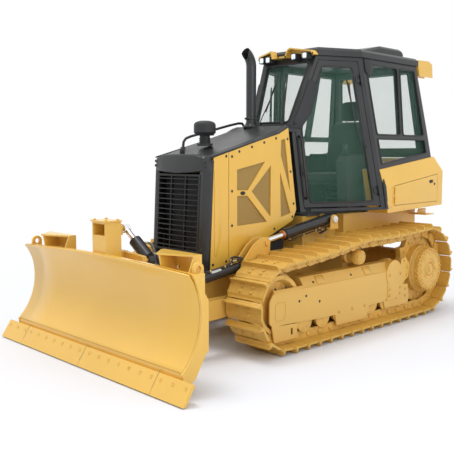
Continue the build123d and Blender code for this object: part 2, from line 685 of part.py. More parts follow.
def door_outline(margin, bottom, top, rear):
    """Door outline with margins from the cab's front edge, sill, roof and corner post."""
    return [on_door(*p) for p in (
        (front_bottom_y + margin, bottom), (front_waist_y + margin, cab_waist),
        (front_top_y + margin - (cab_top - top) * 0.4, top), (post_y(top) - rear, top),
        (post_y(bottom) - rear, bottom))]


door_rear, edge_gap = 42.0, 5.0
door_low, door_high = 1140.0, cab_top - 40
sill_gap = 14.0
pin_out, door_pin, knuckle, knuckle_long = 18.0, 6.0, 13.0, 54.0
lug_long, leaf_long, leaf_thick, leaf_inset = 20.0, 34.0, 9.0, 3.0


def pin_point(z, shift=0.0):
    """Point on the door's pin line at a height, moved up along it by shift."""
    ends = []
    for end_z in (door_low, door_high):
        y = post_y(end_z) - door_rear - edge_gap / 2
        ends.append(Vector(door_face_x(y, end_z), y, end_z) + door_normal * pin_out)
    run = (ends[1] - ends[0]).normalized()
    return ends[0] + run * ((z - door_low) / run.Z + shift)


def leaf(z, low, high, near, far):
    """Plate under the pin line at a height, on the face of the door or of its post."""
    corners = []
    low, high = low + leaf_inset, high - leaf_inset
    for shift, reach in ((low, near), (low, far), (high, far), (high, near)):
        local = door_plane.to_local_coords(pin_point(z, shift))
        corners.append((local.X + reach, local.Y))
    with BuildSketch(door_plane) as plate:
        Polygon(*corners, align=None)
    extrude(plate.sketch, amount=leaf_thick)


hinge_heights = (1300.0, 2380.0)
half_knuckle = knuckle_long / 2
sill_high = 1198.0
window_margin = door_margin + 62
quarter_top = cab_top - 55
quarter_window = [(post_y(1560) + 62, 1562.0), (1850.0, 1672.0), (1752.0, quarter_top),
                  (post_y(quarter_top) + 62, quarter_top)]
window_sill = (1812.0, 1854.0)
sash_foot, sash_head, sash_wide = 1376.0, 1426.0, 46.0
quarter_bars = [[(900, window_sill[0]), (2000, window_sill[0]), (2000, window_sill[1]),
                 (900, window_sill[1])],
                [(sash_foot, window_sill[1] - 4), (sash_foot + sash_wide, window_sill[1] - 4),
                 (sash_head + sash_wide, quarter_top + 4), (sash_head, quarter_top + 4)]]
windscreen = [(-215, 1965), (215, 1965), (275, cab_top - 60), (-275, cab_top - 60)]
rear_window = [(-520, 1720), (520, 1720), (450, cab_top - 70), (-450, cab_top - 70)]
pane_gap = 0.8
box_line = ((936.0, 1508.0), (1962.0, 1635.0))
tail_y = 2112.0
box_tail, box_kink = (tail_y, 1107.0), (tail_y, 1479.0)
box_front_low = (post_y(box_bottom) + 66, box_bottom)
box_side = [box_front_low, box_tail, box_kink, box_line[1], box_line[0]]


def quarter_panes(margin):
    """Openings of a side window between its frame, sill and sash, each drawn in by margin."""
    with BuildSketch(Plane.YZ.offset(-900)) as panes:
        Polygon(*quarter_window, align=None)
        for strip in quarter_bars:
            Polygon(*strip, align=None, mode=Mode.SUBTRACT)
        if margin:
            offset(amount=-margin, kind=Kind.INTERSECTION)
    return panes.sketch


with BuildPart() as door_pins:
    for z in hinge_heights:
        bar(pin_point(z, -half_knuckle - lug_long), pin_point(z, half_knuckle + lug_long), door_pin)
        for low, high in ((-half_knuckle - lug_long, -half_knuckle - 1),
                          (half_knuckle + 1, half_knuckle + lug_long)):
            bar(pin_point(z, low), pin_point(z, high), knuckle)
            leaf(z, low, high, 4, leaf_long)
with BuildPart() as cab_frame:
    cab_body(0.0, Mode.ADD)
    cab_body(cab_wall, Mode.SUBTRACT)
    # floor and roof openings
    block((-400, 400), (front_bottom_y + cab_wall, post_y(cab_bottom)), (cab_bottom - 5, cab_bottom + 60),
          mode=Mode.SUBTRACT)
    # everything below the side boxes' upper edge is theirs
    with BuildSketch(Plane.YZ.offset(-900)) as box_room:
        Polygon(*box_side, align=None)
        offset(amount=seat_gap, kind=Kind.INTERSECTION)
    extrude(box_room.sketch, amount=1800, mode=Mode.SUBTRACT)
    # door openings on both sides
    with BuildSketch(door_plane.offset(-2 * cab_wall)) as opening:
        Polygon(*door_outline(door_margin, door_low, door_high, door_rear), align=None)
    cutter = extrude(opening.sketch, amount=3 * cab_wall, mode=Mode.PRIVATE)
    add(cutter, mode=Mode.SUBTRACT)
    add(mirror(cutter, about=Plane.YZ, mode=Mode.PRIVATE), mode=Mode.SUBTRACT)
    # lugs and pins that the doors hang on
    add(door_pins.part)
    add(mirror(door_pins.part, about=Plane.YZ, mode=Mode.PRIVATE))
    # quarter windows through both sides
    extrude(quarter_panes(0), amount=1800, mode=Mode.SUBTRACT)
    # windscreen and rear window
    front_plate(windscreen, 0, 700, mode=Mode.SUBTRACT)
    front_plate(rear_window, 1650, 2100, mode=Mode.SUBTRACT)
keep(cab_frame, "cab_frame")

roof_line_y = (front_top_y - 5, post_y(cab_top) - 10, rear_top_y + 20)
roof_half = quarter_face_x(cab_top) + 18
with BuildPart() as cab_roof:
    with BuildSketch(Plane.XY.offset(cab_top + seat_gap)):
        roof_front = door_face_x(roof_line_y[0] + 30, cab_top) + 10
        Polygon((roof_front, roof_line_y[0]), (roof_half, roof_line_y[1]), (roof_half, roof_line_y[2]),
                (-roof_half, roof_line_y[2]), (-roof_half, roof_line_y[1]),
                (-roof_front, roof_line_y[0]), align=None)
    extrude(amount=roof_thick)
    chamfer(cab_roof.faces().sort_by(Axis.Z)[-1].edges(), 26)
keep(cab_roof, "cab_roof")

roof_face = cab_top + seat_gap + roof_thick
unit_half = 430.0
unit_top = roof_face + 96.7
with BuildPart() as roof_unit:
    side_plate([(880, roof_face + seat_gap), (1305, unit_top), (1660, unit_top),
                (1715, roof_face + 48), (1715, roof_face + seat_gap)], -unit_half, unit_half)
    top_edges = roof_unit.edges().filter_by(lambda e: e.center().Z > roof_face + 20
                                            and abs(abs(e.center().X) - unit_half) < 1)
    chamfer([e for e in top_edges if e.length > 200], 22)
keep(roof_unit, "roof_unit")

# lamp visors: a front brow arched over the lamps and a pair of rear hoods
brow_front, brow_skin = 270.0, 13.0
brow_back = roof_line_y[0] - seat_gap
# (x, height over the roof's face)
brow_arches = [(-345, -78), (-334, -38), (-168, 2), (-148, -64), (13, -64), (40, -6), (76, 11),
               (344, -38), (371, -78)]
brow_hollows = ([(-333, -100), (-333, -74), (-324, -50), (-177, -14), (-161, -66), (-161, -100)],
                [(27, -100), (27, -64), (51, -17), (79, -3), (336, -51), (358, -78), (358, -100)])
visor_seat = roof_line_y[2] + seat_gap
visor_high, visor_low, visor_tail = cab_top + 65, cab_top - 100, 2122.0
with BuildPart() as lamp_visors:
    front_plate([(x, roof_face + z) for x, z in brow_arches], brow_front, brow_back)
    for hollow in brow_hollows:
        front_plate([(x, roof_face + z) for x, z in hollow], brow_front - 1, brow_back - brow_skin,
                    mode=Mode.SUBTRACT)
    for x0 in (-roof_half, roof_half - 110):
        side_plate([(visor_seat, visor_high), (2030, visor_high + 7), (2105, visor_high - 25),
                    (visor_tail, visor_low), (1850, visor_low), (visor_seat, cab_top)], x0, x0 + 110)
        side_plate([(rear_top_y + 60, visor_high - 25), (2040, visor_high - 15),
                    (visor_tail + 8, visor_high - 35), (visor_tail + 8, visor_low - 10),
                    (1860, visor_low - 10)], x0 + 12, x0 + 98, mode=Mode.SUBTRACT)
keep(lamp_visors, "lamp_visors")

lamp_half, lamp_drop, lamp_depth = 34.0, 50.0, 64.0
with BuildPart() as work_lamps:
    for lamp_x in (-287, -203, 134, 273):
        with BuildSketch(Plane.XZ.offset(-brow_front + 8)):
            with Locations((lamp_x, roof_face - lamp_drop - lamp_depth / 2)):
                RectangleRounded(2 * lamp_half, lamp_depth, 12)
        extrude(amount=-(brow_back - brow_skin - seat_gap - brow_front + 8))
    for lamp_x in (-roof_half + 55, roof_half - 55):
        block((lamp_x - 40, lamp_x + 40), (1940, 2010), (visor_low + 50, visor_high - 21))
keep(work_lamps, "work_lamps")

# doors: a frame with its pane, hung on the corner post
with BuildPart() as cab_door_left:
    with BuildSketch(door_plane.offset(-door_thick)):
        Polygon(*door_outline(door_margin + edge_gap, door_low + sill_gap, door_high - edge_gap,
                              door_rear + edge_gap), align=None)
        Polygon(*door_outline(window_margin, sill_high, door_high - 62, door_rear + 66),
                align=None, mode=Mode.SUBTRACT)
    extrude(amount=door_thick)
    # knuckles of both hinges
    for z in hinge_heights:
        bar(pin_point(z, -half_knuckle), pin_point(z, half_knuckle), knuckle)
        leaf(z, -half_knuckle, half_knuckle, -leaf_long - 20, -4)
        bar(pin_point(z, -half_knuckle), pin_point(z, half_knuckle), door_pin + seat_gap,
            mode=Mode.SUBTRACT)
keep(cab_door_left, "cab_door_left")
keep(twin(cab_door_left), "cab_door_right")

with BuildPart() as cab_door_left_glass:
    with BuildSketch(door_plane.offset(-door_thick / 2)):
        Polygon(*door_outline(window_margin + seat_gap, sill_high + seat_gap,
                              door_high - 62 - seat_gap, door_rear + 66 + seat_gap), align=None)
    extrude(amount=glass_thick)
keep(cab_door_left_glass, "cab_door_left_glass")
keep(twin(cab_door_left_glass), "cab_door_right_glass")

# fixed panes, each cut from a thin skin of the cab's form
with BuildPart() as cab_glass:
    cab_body(cab_wall / 2, Mode.ADD)
    cab_body(cab_wall / 2 + glass_thick, Mode.SUBTRACT)
    panes = cab_glass.part
with BuildPart() as windscreen_zone:
    for window, y0, y1 in ((windscreen, 0, 700), (rear_window, 1650, 2100)):
        with BuildSketch(Plane.XZ.offset(-y0)) as pane:
            Polygon(*window, align=None)
            offset(amount=-pane_gap, kind=Kind.INTERSECTION)
        extrude(pane.sketch, amount=y0 - y1)
    extrude(quarter_panes(pane_gap), amount=1800)
with BuildPart() as cab_panes:
    add(panes)
    add(windscreen_zone.part, mode=Mode.INTERSECT)
keep(cab_panes, "cab_glass")

# tub inside the cab: floor, side walls and the wall behind the seat
with BuildPart() as cab_tub:
    block((-395, 395), (front_bottom_y + cab_wall + 5, tub_rear), (box_bottom, box_bottom + tub_wall))
    block((-tub_half, tub_half), (1010, tub_rear), (box_bottom, box_bottom + tub_wall))
    for x0 in (-tub_half, tub_half - tub_wall):
        side_plate([(1010, box_bottom), (tub_rear, box_bottom), (tub_rear, 1560), (960, 1495)],
                   x0, x0 + tub_wall)
    block((-tub_half, tub_half), (tub_rear - tub_wall, tub_rear), (box_bottom, 1560))
keep(cab_tub, "cab_tub")

seat_y = 1150.0
tub_floor = box_bottom + tub_wall
with BuildPart() as operator_seat:
    block((-190, 190), (seat_y - 200, seat_y + 180), (tub_floor, tub_floor + 260))
    side_plate([(seat_y - 330, tub_floor + 260), (seat_y + 200, tub_floor + 260),
                (seat_y + 200, tub_floor + 360), (seat_y - 300, tub_floor + 390),
                (seat_y - 340, tub_floor + 350)], -255, 255)
    side_plate([(seat_y + 60, tub_floor + 360), (seat_y + 190, tub_floor + 340),
                (seat_y + 290, tub_floor + 930), (seat_y + 190, tub_floor + 930)], -240, 240)
    side_plate([(seat_y + 195, tub_floor + 925), (seat_y + 285, tub_floor + 925),
                (seat_y + 310, tub_floor + 1150), (seat_y + 235, tub_floor + 1150)], -140, 140)
keep(operator_seat, "operator_seat")

with BuildPart() as operator_console:
    for side in (-1, 1):
        x0, x1 = sorted((side * 275, side * 400))
        side_plate([(seat_y - 330, tub_floor), (seat_y + 200, tub_floor), (seat_y + 200, tub_floor + 560),
                    (seat_y - 330, tub_floor + 560), (seat_y - 380, tub_floor + 500)], x0, x1)
        bar((side * 330, seat_y - 290, tub_floor + 555), (side * 330, seat_y - 300, tub_floor + 680), 26)
    # dash under the windscreen
    side_plate([(front_bottom_y + 60, tub_floor), (front_bottom_y + 180, tub_floor),
                (front_bottom_y + 240, 1800), (front_bottom_y + 20, 1880)], -200, 200)
keep(operator_console, "operator_console")

# ---- rear boxes and tank ---------------------------------------------------------------
crease = ((1057.0, 1340.0), (tail_y, 1475.0))
crease_run = Vector(0, crease[1][0] - crease[0][0], crease[1][1] - crease[0][1]).normalized()
crease_plane = Plane(origin=(0, *crease[0]), x_dir=(1, 0, 0), z_dir=-crease_run)
facet_rise = 200.0
service_low, service_high = 1140.0, 12.0
service_front, service_rear = 1165.0, 2010.0
service_door = [(service_front, service_low), (service_rear, service_low + 6),
                (service_rear, on_edge(*crease, service_rear) - service_high),
                (service_front, on_edge(*crease, service_front) - service_high)]
service_thick = 20.0
service_hinges, service_pin, service_knuckle = (1195.0, 1290.0), 4.0, 8.0
service_pin_x, service_half, service_lug = box_half + 9, 22.0, 18.0
bay_depth = 130.0
with BuildPart() as side_box_left:
    side_plate(box_side, tub_half + seat_gap, box_half)
    # upper facet leaning in from the crease to the quarter windows
    facet_x = quarter_face_x(box_line[0][1])
    with BuildSketch(crease_plane) as facet:
        Polygon((box_half, 0), (facet_x, facet_rise), (box_half + 50, facet_rise), (box_half + 50, 0),
                align=None)
    extrude(facet.sketch, amount=1300, both=True, mode=Mode.SUBTRACT)
    side_plate([(service_front + 30, service_low + 30), (service_rear - 30, service_low + 36),
                (service_rear - 30, on_edge(*crease, service_rear) - 42),
                (service_front + 30, on_edge(*crease, service_front) - 42)],
               box_half - bay_depth, box_half, mode=Mode.SUBTRACT)
    side_plate(service_door, box_half - service_thick - seat_gap, box_half, mode=Mode.SUBTRACT)
    # hinge pins of the service door, in lugs
    for z in service_hinges:
        bar((service_pin_x, service_front, z - service_half - service_lug),
            (service_pin_x, service_front, z + service_half + service_lug), service_pin)
        for z0 in (z - service_half - service_lug, z + service_half + 1):
            bar((service_pin_x, service_front, z0), (service_pin_x, service_front, z0 + service_lug - 1),
                service_knuckle)
            block((box_half - 1, box_half + 5), (service_front - 34, service_front - 2),
                  (z0, z0 + service_lug - 1))
keep(side_box_left, "side_box_left")
keep(twin(side_box_left), "side_box_right")

with BuildPart() as service_door_left:
    with BuildSketch(Plane.YZ.offset(box_half - service_thick)) as panel:
        Polygon(*service_door, align=None)
        offset(amount=-edge_gap, kind=Kind.INTERSECTION)
    extrude(panel.sketch, amount=service_thick)
    for z in service_hinges:
        low, high = z - service_half, z + service_half
        bar((service_pin_x, service_front, low), (service_pin_x, service_front, high), service_knuckle)
        block((box_half - 1, box_half + 5), (service_front + edge_gap + 1, service_front + 40),
              (low, high))
        bar((service_pin_x, service_front, low - 1), (service_pin_x, service_front, high + 1),
            service_pin + seat_gap, mode=Mode.SUBTRACT)
keep(service_door_left, "service_door_left")
keep(twin(service_door_left), "service_door_right")

with BuildPart() as rear_tank:
    side_plate([(tub_rear + seat_gap, box_bottom + seat_gap), (box_tail[0] - 30, box_bottom + seat_gap),
                (box_kink[0] - 30, box_kink[1] - 10), (box_line[1][0] - 10, box_line[1][1] - 10),
                (tub_rear + seat_gap, 1560)], -tub_half, tub_half)
keep(rear_tank, "rear_tank")

# ---- blade --------------------------------------------------------------------------------
blade_plate = 18.0
blade_back = -1834.0
tilt_shaft = 45.0
ear_rear = -1660.0
angle_room_low, angle_room_high, angle_plate = 72.0, 90.0, 18.0
box_back = -1770.0
arc_low = (blade_arc_y + math.sqrt(blade_radius ** 2 - (blade_low + 30 - blade_arc_z) ** 2), blade_low + 30)
arc_high = (blade_arc_y + math.sqrt(blade_radius ** 2 - (blade_top - blade_arc_z) ** 2), blade_top)
edge_rise, edge_run, edge_thick = 140.0, 92.0, 22.0
edge_slope = math.hypot(edge_rise, edge_run)
down_edge = (-edge_run / edge_slope, -edge_rise / edge_slope)
behind_edge = (edge_rise / edge_slope, -edge_run / edge_slope)


def on_blade_foot(down, behind):
    """Point down the cutting edge's face from its top, and behind that face."""
    y = edge_y + edge_run + down * down_edge[0] + behind * behind_edge[0]
    z = edge_z + edge_rise + down * down_edge[1] + behind * behind_edge[1]
    return y, z


foot_top = on_blade_foot(0, edge_thick + seat_gap)
foot_low = on_blade_foot(95, edge_thick + seat_gap)
foot_back = on_blade_foot(95, edge_thick + 26)


def board_profile(inset):
    """Front face of the moldboard as (low, middle, high) points, moved back by inset."""
    radius = blade_radius + inset
    points = []
    for z in (arc_low[1], blade_arc_z, arc_high[1]):
        points.append((blade_arc_y + math.sqrt(radius ** 2 - (z - blade_arc_z) ** 2), z))
    return points


with BuildPart() as blade:
    # curved board
    with BuildSketch(Plane.YZ.offset(-blade_half)):
        with BuildLine():
            low, middle, high = board_profile(0)
            back_low, back_middle, back_high = board_profile(blade_plate)
            ThreePointArc(low, middle, high)
            Polyline(high, back_high)
            ThreePointArc(back_high, back_middle, back_low)
            Polyline(back_low, foot_back, foot_low, foot_top, low)
        make_face()
    extrude(amount=2 * blade_half)
    # box section along the back
    with BuildSketch(Plane.YZ.offset(-blade_half + 1)):
        with BuildLine():
            ThreePointArc(back_low, back_middle, back_high)
            Polyline(back_high, (back_high[0] + 12, blade_top), (blade_back + 24, 720), (box_back, 655),
                     (box_back, 300), (blade_back, 240), (-1921, 150), back_low)
        make_face()
    extrude(amount=2 * blade_half - 2)
    # end plates
    end_plate = 20.0
    for x0 in (-blade_half - end_plate / 2, blade_half - end_plate / 2):
        with BuildSketch(Plane.YZ.offset(x0)):
            with BuildLine():
                low_front, mid_front, high_front = board_profile(-6)
                ThreePointArc(low_front, mid_front, high_front)
                Polyline(high_front, (high_front[0] + 10, blade_top + 2), (blade_back - 46, blade_top - 22),
                         (blade_back + 20, blade_top - 22), (blade_back + 20, blade_low + 121),
                         (blade_back - 71, blade_low - 28), foot_back, foot_low, foot_top, low_front)
            make_face()
        extrude(amount=end_plate)
    # top edge crowned towards the middle
    blade_end = blade_top - crown_drop
    with BuildSketch(Plane.XZ.offset(2200)):
        with BuildLine():
            ThreePointArc((-blade_half - 20, blade_end), (0, blade_top), (blade_half + 20, blade_end))
            Polyline((blade_half + 20, blade_end), (blade_half + 20, blade_top + 40),
                     (-blade_half - 20, blade_top + 40), (-blade_half - 20, blade_end))
        make_face()
    extrude(amount=-500, mode=Mode.SUBTRACT)
    # lifting eyes over both ends
    for x0 in (-blade_half + 25, blade_half - 49):
        with BuildSketch(Plane.YZ.offset(x0)):
            with Locations((blade_back - 4, blade_end + 28)):
                Circle(45)
                Rectangle(90, 70, align=(Align.CENTER, Align.MAX))
                Circle(22, mode=Mode.SUBTRACT)
        extrude(amount=24)
    # brackets over both halves: a web behind the board, a level top plate cut on the skew, an end plate
    bracket_top, bracket_long, bracket_plate = 965.0, 417.0, 14.0
    bracket_rear = box_back + 14
    for x0 in (640, -988):
        x1 = x0 + bracket_long
        front_plate([(x0, bracket_top - 2), (x1, bracket_top - 2), (x1, 610), (x0 + 141, 610),
                     (x0 + 141, 833), (x0 + 24, 907)], bracket_rear - bracket_plate - 4, bracket_rear)
        bar((x0 + 180, box_back - 30, 851), (x0 + 180, box_back + 40, 851), 17, mode=Mode.SUBTRACT)
        top_plate([(x0 + 133, -1933), (x1, -1818), (x1, bracket_rear), (x0, bracket_rear),
                   (x0, bracket_rear - 30)], bracket_top - bracket_plate, bracket_top)
        side_plate([(-1822, bracket_top - 2), (bracket_rear, bracket_top - 2), (bracket_rear, 640),
                    (blade_back - 20, 700), (blade_back - 40, blade_end - 10)], x1 - bracket_plate, x1)
        # prop under the top plate's front corner
        side_plate([(-1925, bracket_top - 2), (bracket_rear - 6, bracket_top - 2),
                    (bracket_rear - 6, 700), (blade_back - 30, 700), (blade_back - 66, blade_end - 10)],
                   x0 + 141, x0 + 141 + bracket_plate)
    # centre tower
    tower_half, tower_top, tower_front, tower_rear = 93.0, 1128.0, -1900.0, -1752.0
    tower_foot = blade_top - 38
    block((-tower_half, tower_half), (tower_front, tower_rear), (tower_foot, tower_top))
    block((-tower_half, tower_half), (blade_back, tower_rear), (640, tower_foot))
    block((-tower_half - 12, tower_half + 12), (tower_front - 10, tower_rear), (tower_top, tower_top + 12))
    block((-tower_half + 14, tower_half - 14), (tower_front - 2, tower_rear - 14),
          (tower_top - 105, tower_top - 14), mode=Mode.SUBTRACT)
    # ear of the tilt rod, with its pin
    tilt_pin = 18.0
    block((tilt_eye[0] - 45, tilt_eye[0] + 45), (tower_rear, ear_rear), (tilt_eye[2] - 45, tilt_eye[2] + 45))
    bar((tilt_eye[0], ear_rear, tilt_eye[2]), (tilt_eye[0], tilt_eye[1] + 40, tilt_eye[2]), tilt_pin)
    # bore of the tilt shaft
    bar((0, box_back + 5, swivel_z), (0, box_back - 80, swivel_z), tilt_shaft + seat_gap,
        mode=Mode.SUBTRACT)
    # flat clevis ears of the angle rods
    for side in (-1, 1):
        for z0 in (angle_eye[2] - angle_room_low - angle_plate, angle_eye[2] + angle_room_high):
            with BuildSketch(Plane.XY.offset(z0)):
                with Locations((side * angle_eye[0], angle_eye[1])):
                    Circle(46)
                    Rectangle(92, angle_eye[1] - box_back + 30, align=(Align.CENTER, Align.MAX))
            extrude(amount=angle_plate)
        bar((side * angle_eye[0], angle_eye[1], angle_eye[2] + angle_room_high + 2),
            (side * angle_eye[0], angle_eye[1], angle_eye[2] + angle_room_high + angle_plate + 10), 24)
keep(blade, "blade")

edge_seams = (-edge_half, -921.0, -10.0, 912.0, edge_half)
with BuildPart() as cutting_edges:
    for x0, x1 in zip(edge_seams, edge_seams[1:]):
        heel = on_blade_foot(edge_slope, edge_thick)
        heel_cut = (edge_z - heel[1]) / -down_edge[1]
        side_plate([(edge_y, edge_z), on_blade_foot(edge_slope - heel_cut, edge_thick),
                    on_blade_foot(0, edge_thick), on_blade_foot(0, 0)], x0 + 1.5, x1 - 1.5)
keep(cutting_edges, "cutting_edges")

# ---- push frame ---------------------------------------------------------------------------
arm_low, arm_high = 304.0, 470.0
arm_front = -1257.0
hub_radius_front, hub_low, hub_high = 55.0, 300.0, 434.0
swivel_pin = 30.0
angle_pin = 16.0
ear_inner, ear_outer, ear_plate = lift_x - 30, lift_x + 30, 18.0
with BuildPart() as c_frame:
    for side in (-1, 1):
        x0, x1 = sorted((side * arm_inner, side * arm_outer))
        side_plate([(hinge_y + 20, hinge_z - 55), (arm_front, arm_low), (arm_front, arm_high - 30),
                    (arm_front + 60, arm_high), (-420, arm_high), (hinge_y + 20, hinge_z + 55)], x0, x1)
        bar((x0, hinge_y, hinge_z), (x1, hinge_y, hinge_z), hinge_boss)
        # fins that carry the lift rod's eye and the angle cylinder's pin
        for ear_x in (ear_inner - ear_plate, ear_outer):
            e0, e1 = sorted((side * ear_x, side * (ear_x + ear_plate)))
            side_plate([(angle_pivot[1] - 46, arm_high - 60), (angle_pivot[1] - 46, angle_pivot[2] - 20),
                        (angle_pivot[1] - 24, angle_pivot[2] + 40), (lift_eye_y - 165, lift_eye_z - 8),
                        (lift_eye_y - 80, lift_eye_z + 40), (lift_eye_y + 8, lift_eye_z + 44),
                        (lift_eye_y + 42, lift_eye_z + 10), (lift_eye_y + 36, lift_eye_z - 120),
                        (lift_eye_y + 150, arm_high - 60)], e0, e1)
        bar((side * (ear_outer + 2), lift_eye_y, lift_eye_z),
            (side * (ear_outer + ear_plate + 12), lift_eye_y, lift_eye_z), 30)
        bar((side * (ear_inner - ear_plate), angle_pivot[1], angle_pivot[2]),
            (side * (ear_outer + ear_plate + 6), angle_pivot[1], angle_pivot[2]), angle_pin)
    # front cross member drawn in to the swivel hub
    top_plate([(arm_outer, arm_front + 20), (arm_outer, arm_front - 40), (150, swivel_y + 70),
               (-150, swivel_y + 70), (-arm_outer, arm_front - 40), (-arm_outer, arm_front + 20),
               (-arm_inner, arm_front + 20), (-120, swivel_y + 190), (120, swivel_y + 190),
               (arm_inner, arm_front + 20)], arm_low, arm_high - 30)
    block((-hub_radius_front, hub_radius_front), (swivel_y, swivel_y + 75), (hub_low, hub_high))
    bar((0, swivel_y, hub_low), (0, swivel_y, hub_high), hub_radius_front)
    bar((0, swivel_y, hub_low - 5), (0, swivel_y, hub_high + 5), swivel_pin + seat_gap,
        mode=Mode.SUBTRACT)
    # hinge bores
    bar((-600, hinge_y, hinge_z), (600, hinge_y, hinge_z), hinge_pin + seat_gap, mode=Mode.SUBTRACT)
keep(c_frame, "c_frame")

fork_thick, fork_top = 34.0, 480.0
web_front, web_rear = box_back + 8, swivel_y - hub_radius_front - 7
with BuildPart() as blade_swivel:
    for z0, z1 in ((hub_low - run_gap - fork_thick, hub_low - run_gap), (hub_high + run_gap, fork_top)):
        with BuildSketch(Plane.XY.offset(z0)):
            with Locations((0, swivel_y)):
                Circle(hub_radius_front + 5)
                Rectangle(2 * hub_radius_front, swivel_y - web_front, align=(Align.CENTER, Align.MAX))
        extrude(amount=z1 - z0)
    block((-hub_radius_front, hub_radius_front), (web_front, web_rear),
          (hub_low - run_gap - fork_thick, fork_top))
    bar((0, swivel_y, hub_low - run_gap - fork_thick), (0, swivel_y, fork_top), swivel_pin)
    bar((0, web_front + 5, swivel_z), (0, box_back - 75, swivel_z), tilt_shaft)
    # post behind the blade's tower, with an arm to the tilt cylinder
    post_front, post_rear = tower_rear + 8, ear_rear - 2
    block((-hub_radius_front, hub_radius_front), (post_front, post_rear), (fork_top, tilt_pivot[2] + 60))
    front_plate([(0, tilt_pivot[2] - 60), (hub_radius_front, tilt_pivot[2] - 140),
                 (tilt_pivot[0] + 38, tilt_pivot[2] - 38), (tilt_pivot[0] + 38, tilt_pivot[2] + 38),
                 (0, tilt_pivot[2] + 60)], post_rear - 40, post_rear)
    bar((tilt_pivot[0], post_rear, tilt_pivot[2]), (tilt_pivot[0], tilt_pivot[1] + 40, tilt_pivot[2]),
        tilt_pin)
keep(blade_swivel, "blade_swivel")


# ---- cylinders --------------------------------------------------------------------------------
def along(start, end, distance):
    """Point at a distance from start towards end."""
    return tuple(Vector(*start) + (Vector(*end) - Vector(*start)).normalized() * distance)


# lift cylinders, hung on cross pins in yokes beside the body
lift_start = (lift_x, lift_pivot_y, lift_pivot_z)
lift_end = (lift_x, lift_eye_y, lift_eye_z)
lift_bore, lift_rod, lift_barrel = 40.0, 25.0, 50.0
lift_gland, lift_tail, lift_inner, lift_piston = 660.0, 120.0, 400.0, 50.0
lift_stroke_in, trunnion_pin = 190.0, 24.0
yoke_inner, yoke_outer, yoke_plate = 400.0, 545.0, 16.0
with BuildPart() as lift_barrel_left:
    bar(along(lift_start, lift_end, -40), along(lift_start, lift_end, lift_gland), lift_barrel)
    bar(along(lift_start, lift_end, -lift_tail), along(lift_start, lift_end, -30), 25)
    bar(along(lift_start, lift_end, lift_gland - 60), along(lift_start, lift_end, lift_gland - 8), 54)
    bar((yoke_inner - 6, lift_pivot_y, lift_pivot_z),
        (yoke_outer + yoke_plate + 8, lift_pivot_y, lift_pivot_z), trunnion_pin)
    bar(along(lift_start, lift_end, lift_inner - lift_stroke_in - 16),
        along(lift_start, lift_end, lift_gland - 30), lift_bore + seat_gap, mode=Mode.SUBTRACT)
    bar(along(lift_start, lift_end, lift_gland - 31), along(lift_start, lift_end, lift_gland + 1),
        lift_rod + seat_gap, mode=Mode.SUBTRACT)
keep(lift_barrel_left, "lift_barrel_left")
keep(twin(lift_barrel_left), "lift_barrel_right")

with BuildPart() as lift_rod_left:
    bar(along(lift_start, lift_end, lift_inner), along(lift_end, lift_start, 30), lift_rod)
    bar(along(lift_start, lift_end, lift_inner), along(lift_start, lift_end, lift_inner + lift_piston),
        lift_bore)
    bar((lift_x - 24, lift_eye_y, lift_eye_z), (lift_x + 24, lift_eye_y, lift_eye_z), 42)
    bar((lift_x - 26, lift_eye_y, lift_eye_z), (lift_x + 26, lift_eye_y, lift_eye_z), 20)
keep(lift_rod_left, "lift_rod_left")
keep(twin(lift_rod_left), "lift_rod_right")

yoke_low = carrier_top_z + lug_tip + 28
with BuildPart() as lift_yokes:
    block((body_half_front + seat_gap, yoke_outer + yoke_plate), (lift_pivot_y - 60, lift_pivot_y + 60),
          (yoke_low, yoke_low + 16))
    for x0 in (yoke_inner, yoke_outer):
        side_plate([(lift_pivot_y - 60, yoke_low), (lift_pivot_y + 60, yoke_low),
                    (lift_pivot_y + 42, lift_pivot_z + 20), (lift_pivot_y + 20, lift_pivot_z + 44),
                    (lift_pivot_y - 20, lift_pivot_z + 44), (lift_pivot_y - 42, lift_pivot_z + 20)],
                   x0, x0 + yoke_plate)
    bar((yoke_inner - 10, lift_pivot_y, lift_pivot_z),
        (yoke_outer + yoke_plate + 10, lift_pivot_y, lift_pivot_z), trunnion_pin + seat_gap,
        mode=Mode.SUBTRACT)
    mirror(about=Plane.YZ)
keep(lift_yokes, "lift_yokes")

# angle cylinders, each on a level pin between the push frame's ears
angle_barrel, angle_rod, angle_bore = 44.0, 24.0, 36.0
angle_gland, angle_inner, angle_stroke_in = 610.0, 313.0, 213.0
angle_head, angle_piston, angle_eye_half = 62.0, 45.0, 18.0
with BuildPart() as angle_barrel_left:
    bar(along(angle_pivot, angle_eye, angle_head), along(angle_pivot, angle_eye, angle_gland), angle_barrel)
    bar(along(angle_pivot, angle_eye, angle_gland - 56), along(angle_pivot, angle_eye, angle_gland - 6),
        angle_barrel + 5)
    bar((angle_pivot[0] - 24, *angle_pivot[1:]), (angle_pivot[0] + 24, *angle_pivot[1:]), 32)
    bar(angle_pivot, along(angle_pivot, angle_eye, angle_head + 5), 22)
    bar((angle_pivot[0] - 60, *angle_pivot[1:]), (angle_pivot[0] + 60, *angle_pivot[1:]),
        angle_pin + seat_gap, mode=Mode.SUBTRACT)
    bar(along(angle_pivot, angle_eye, angle_inner - angle_stroke_in - 14),
        along(angle_pivot, angle_eye, angle_gland - 30), angle_bore + seat_gap, mode=Mode.SUBTRACT)
    bar(along(angle_pivot, angle_eye, angle_gland - 31), along(angle_pivot, angle_eye, angle_gland + 1),
        angle_rod + seat_gap, mode=Mode.SUBTRACT)
keep(angle_barrel_left, "angle_barrel_left")
keep(twin(angle_barrel_left), "angle_barrel_right")

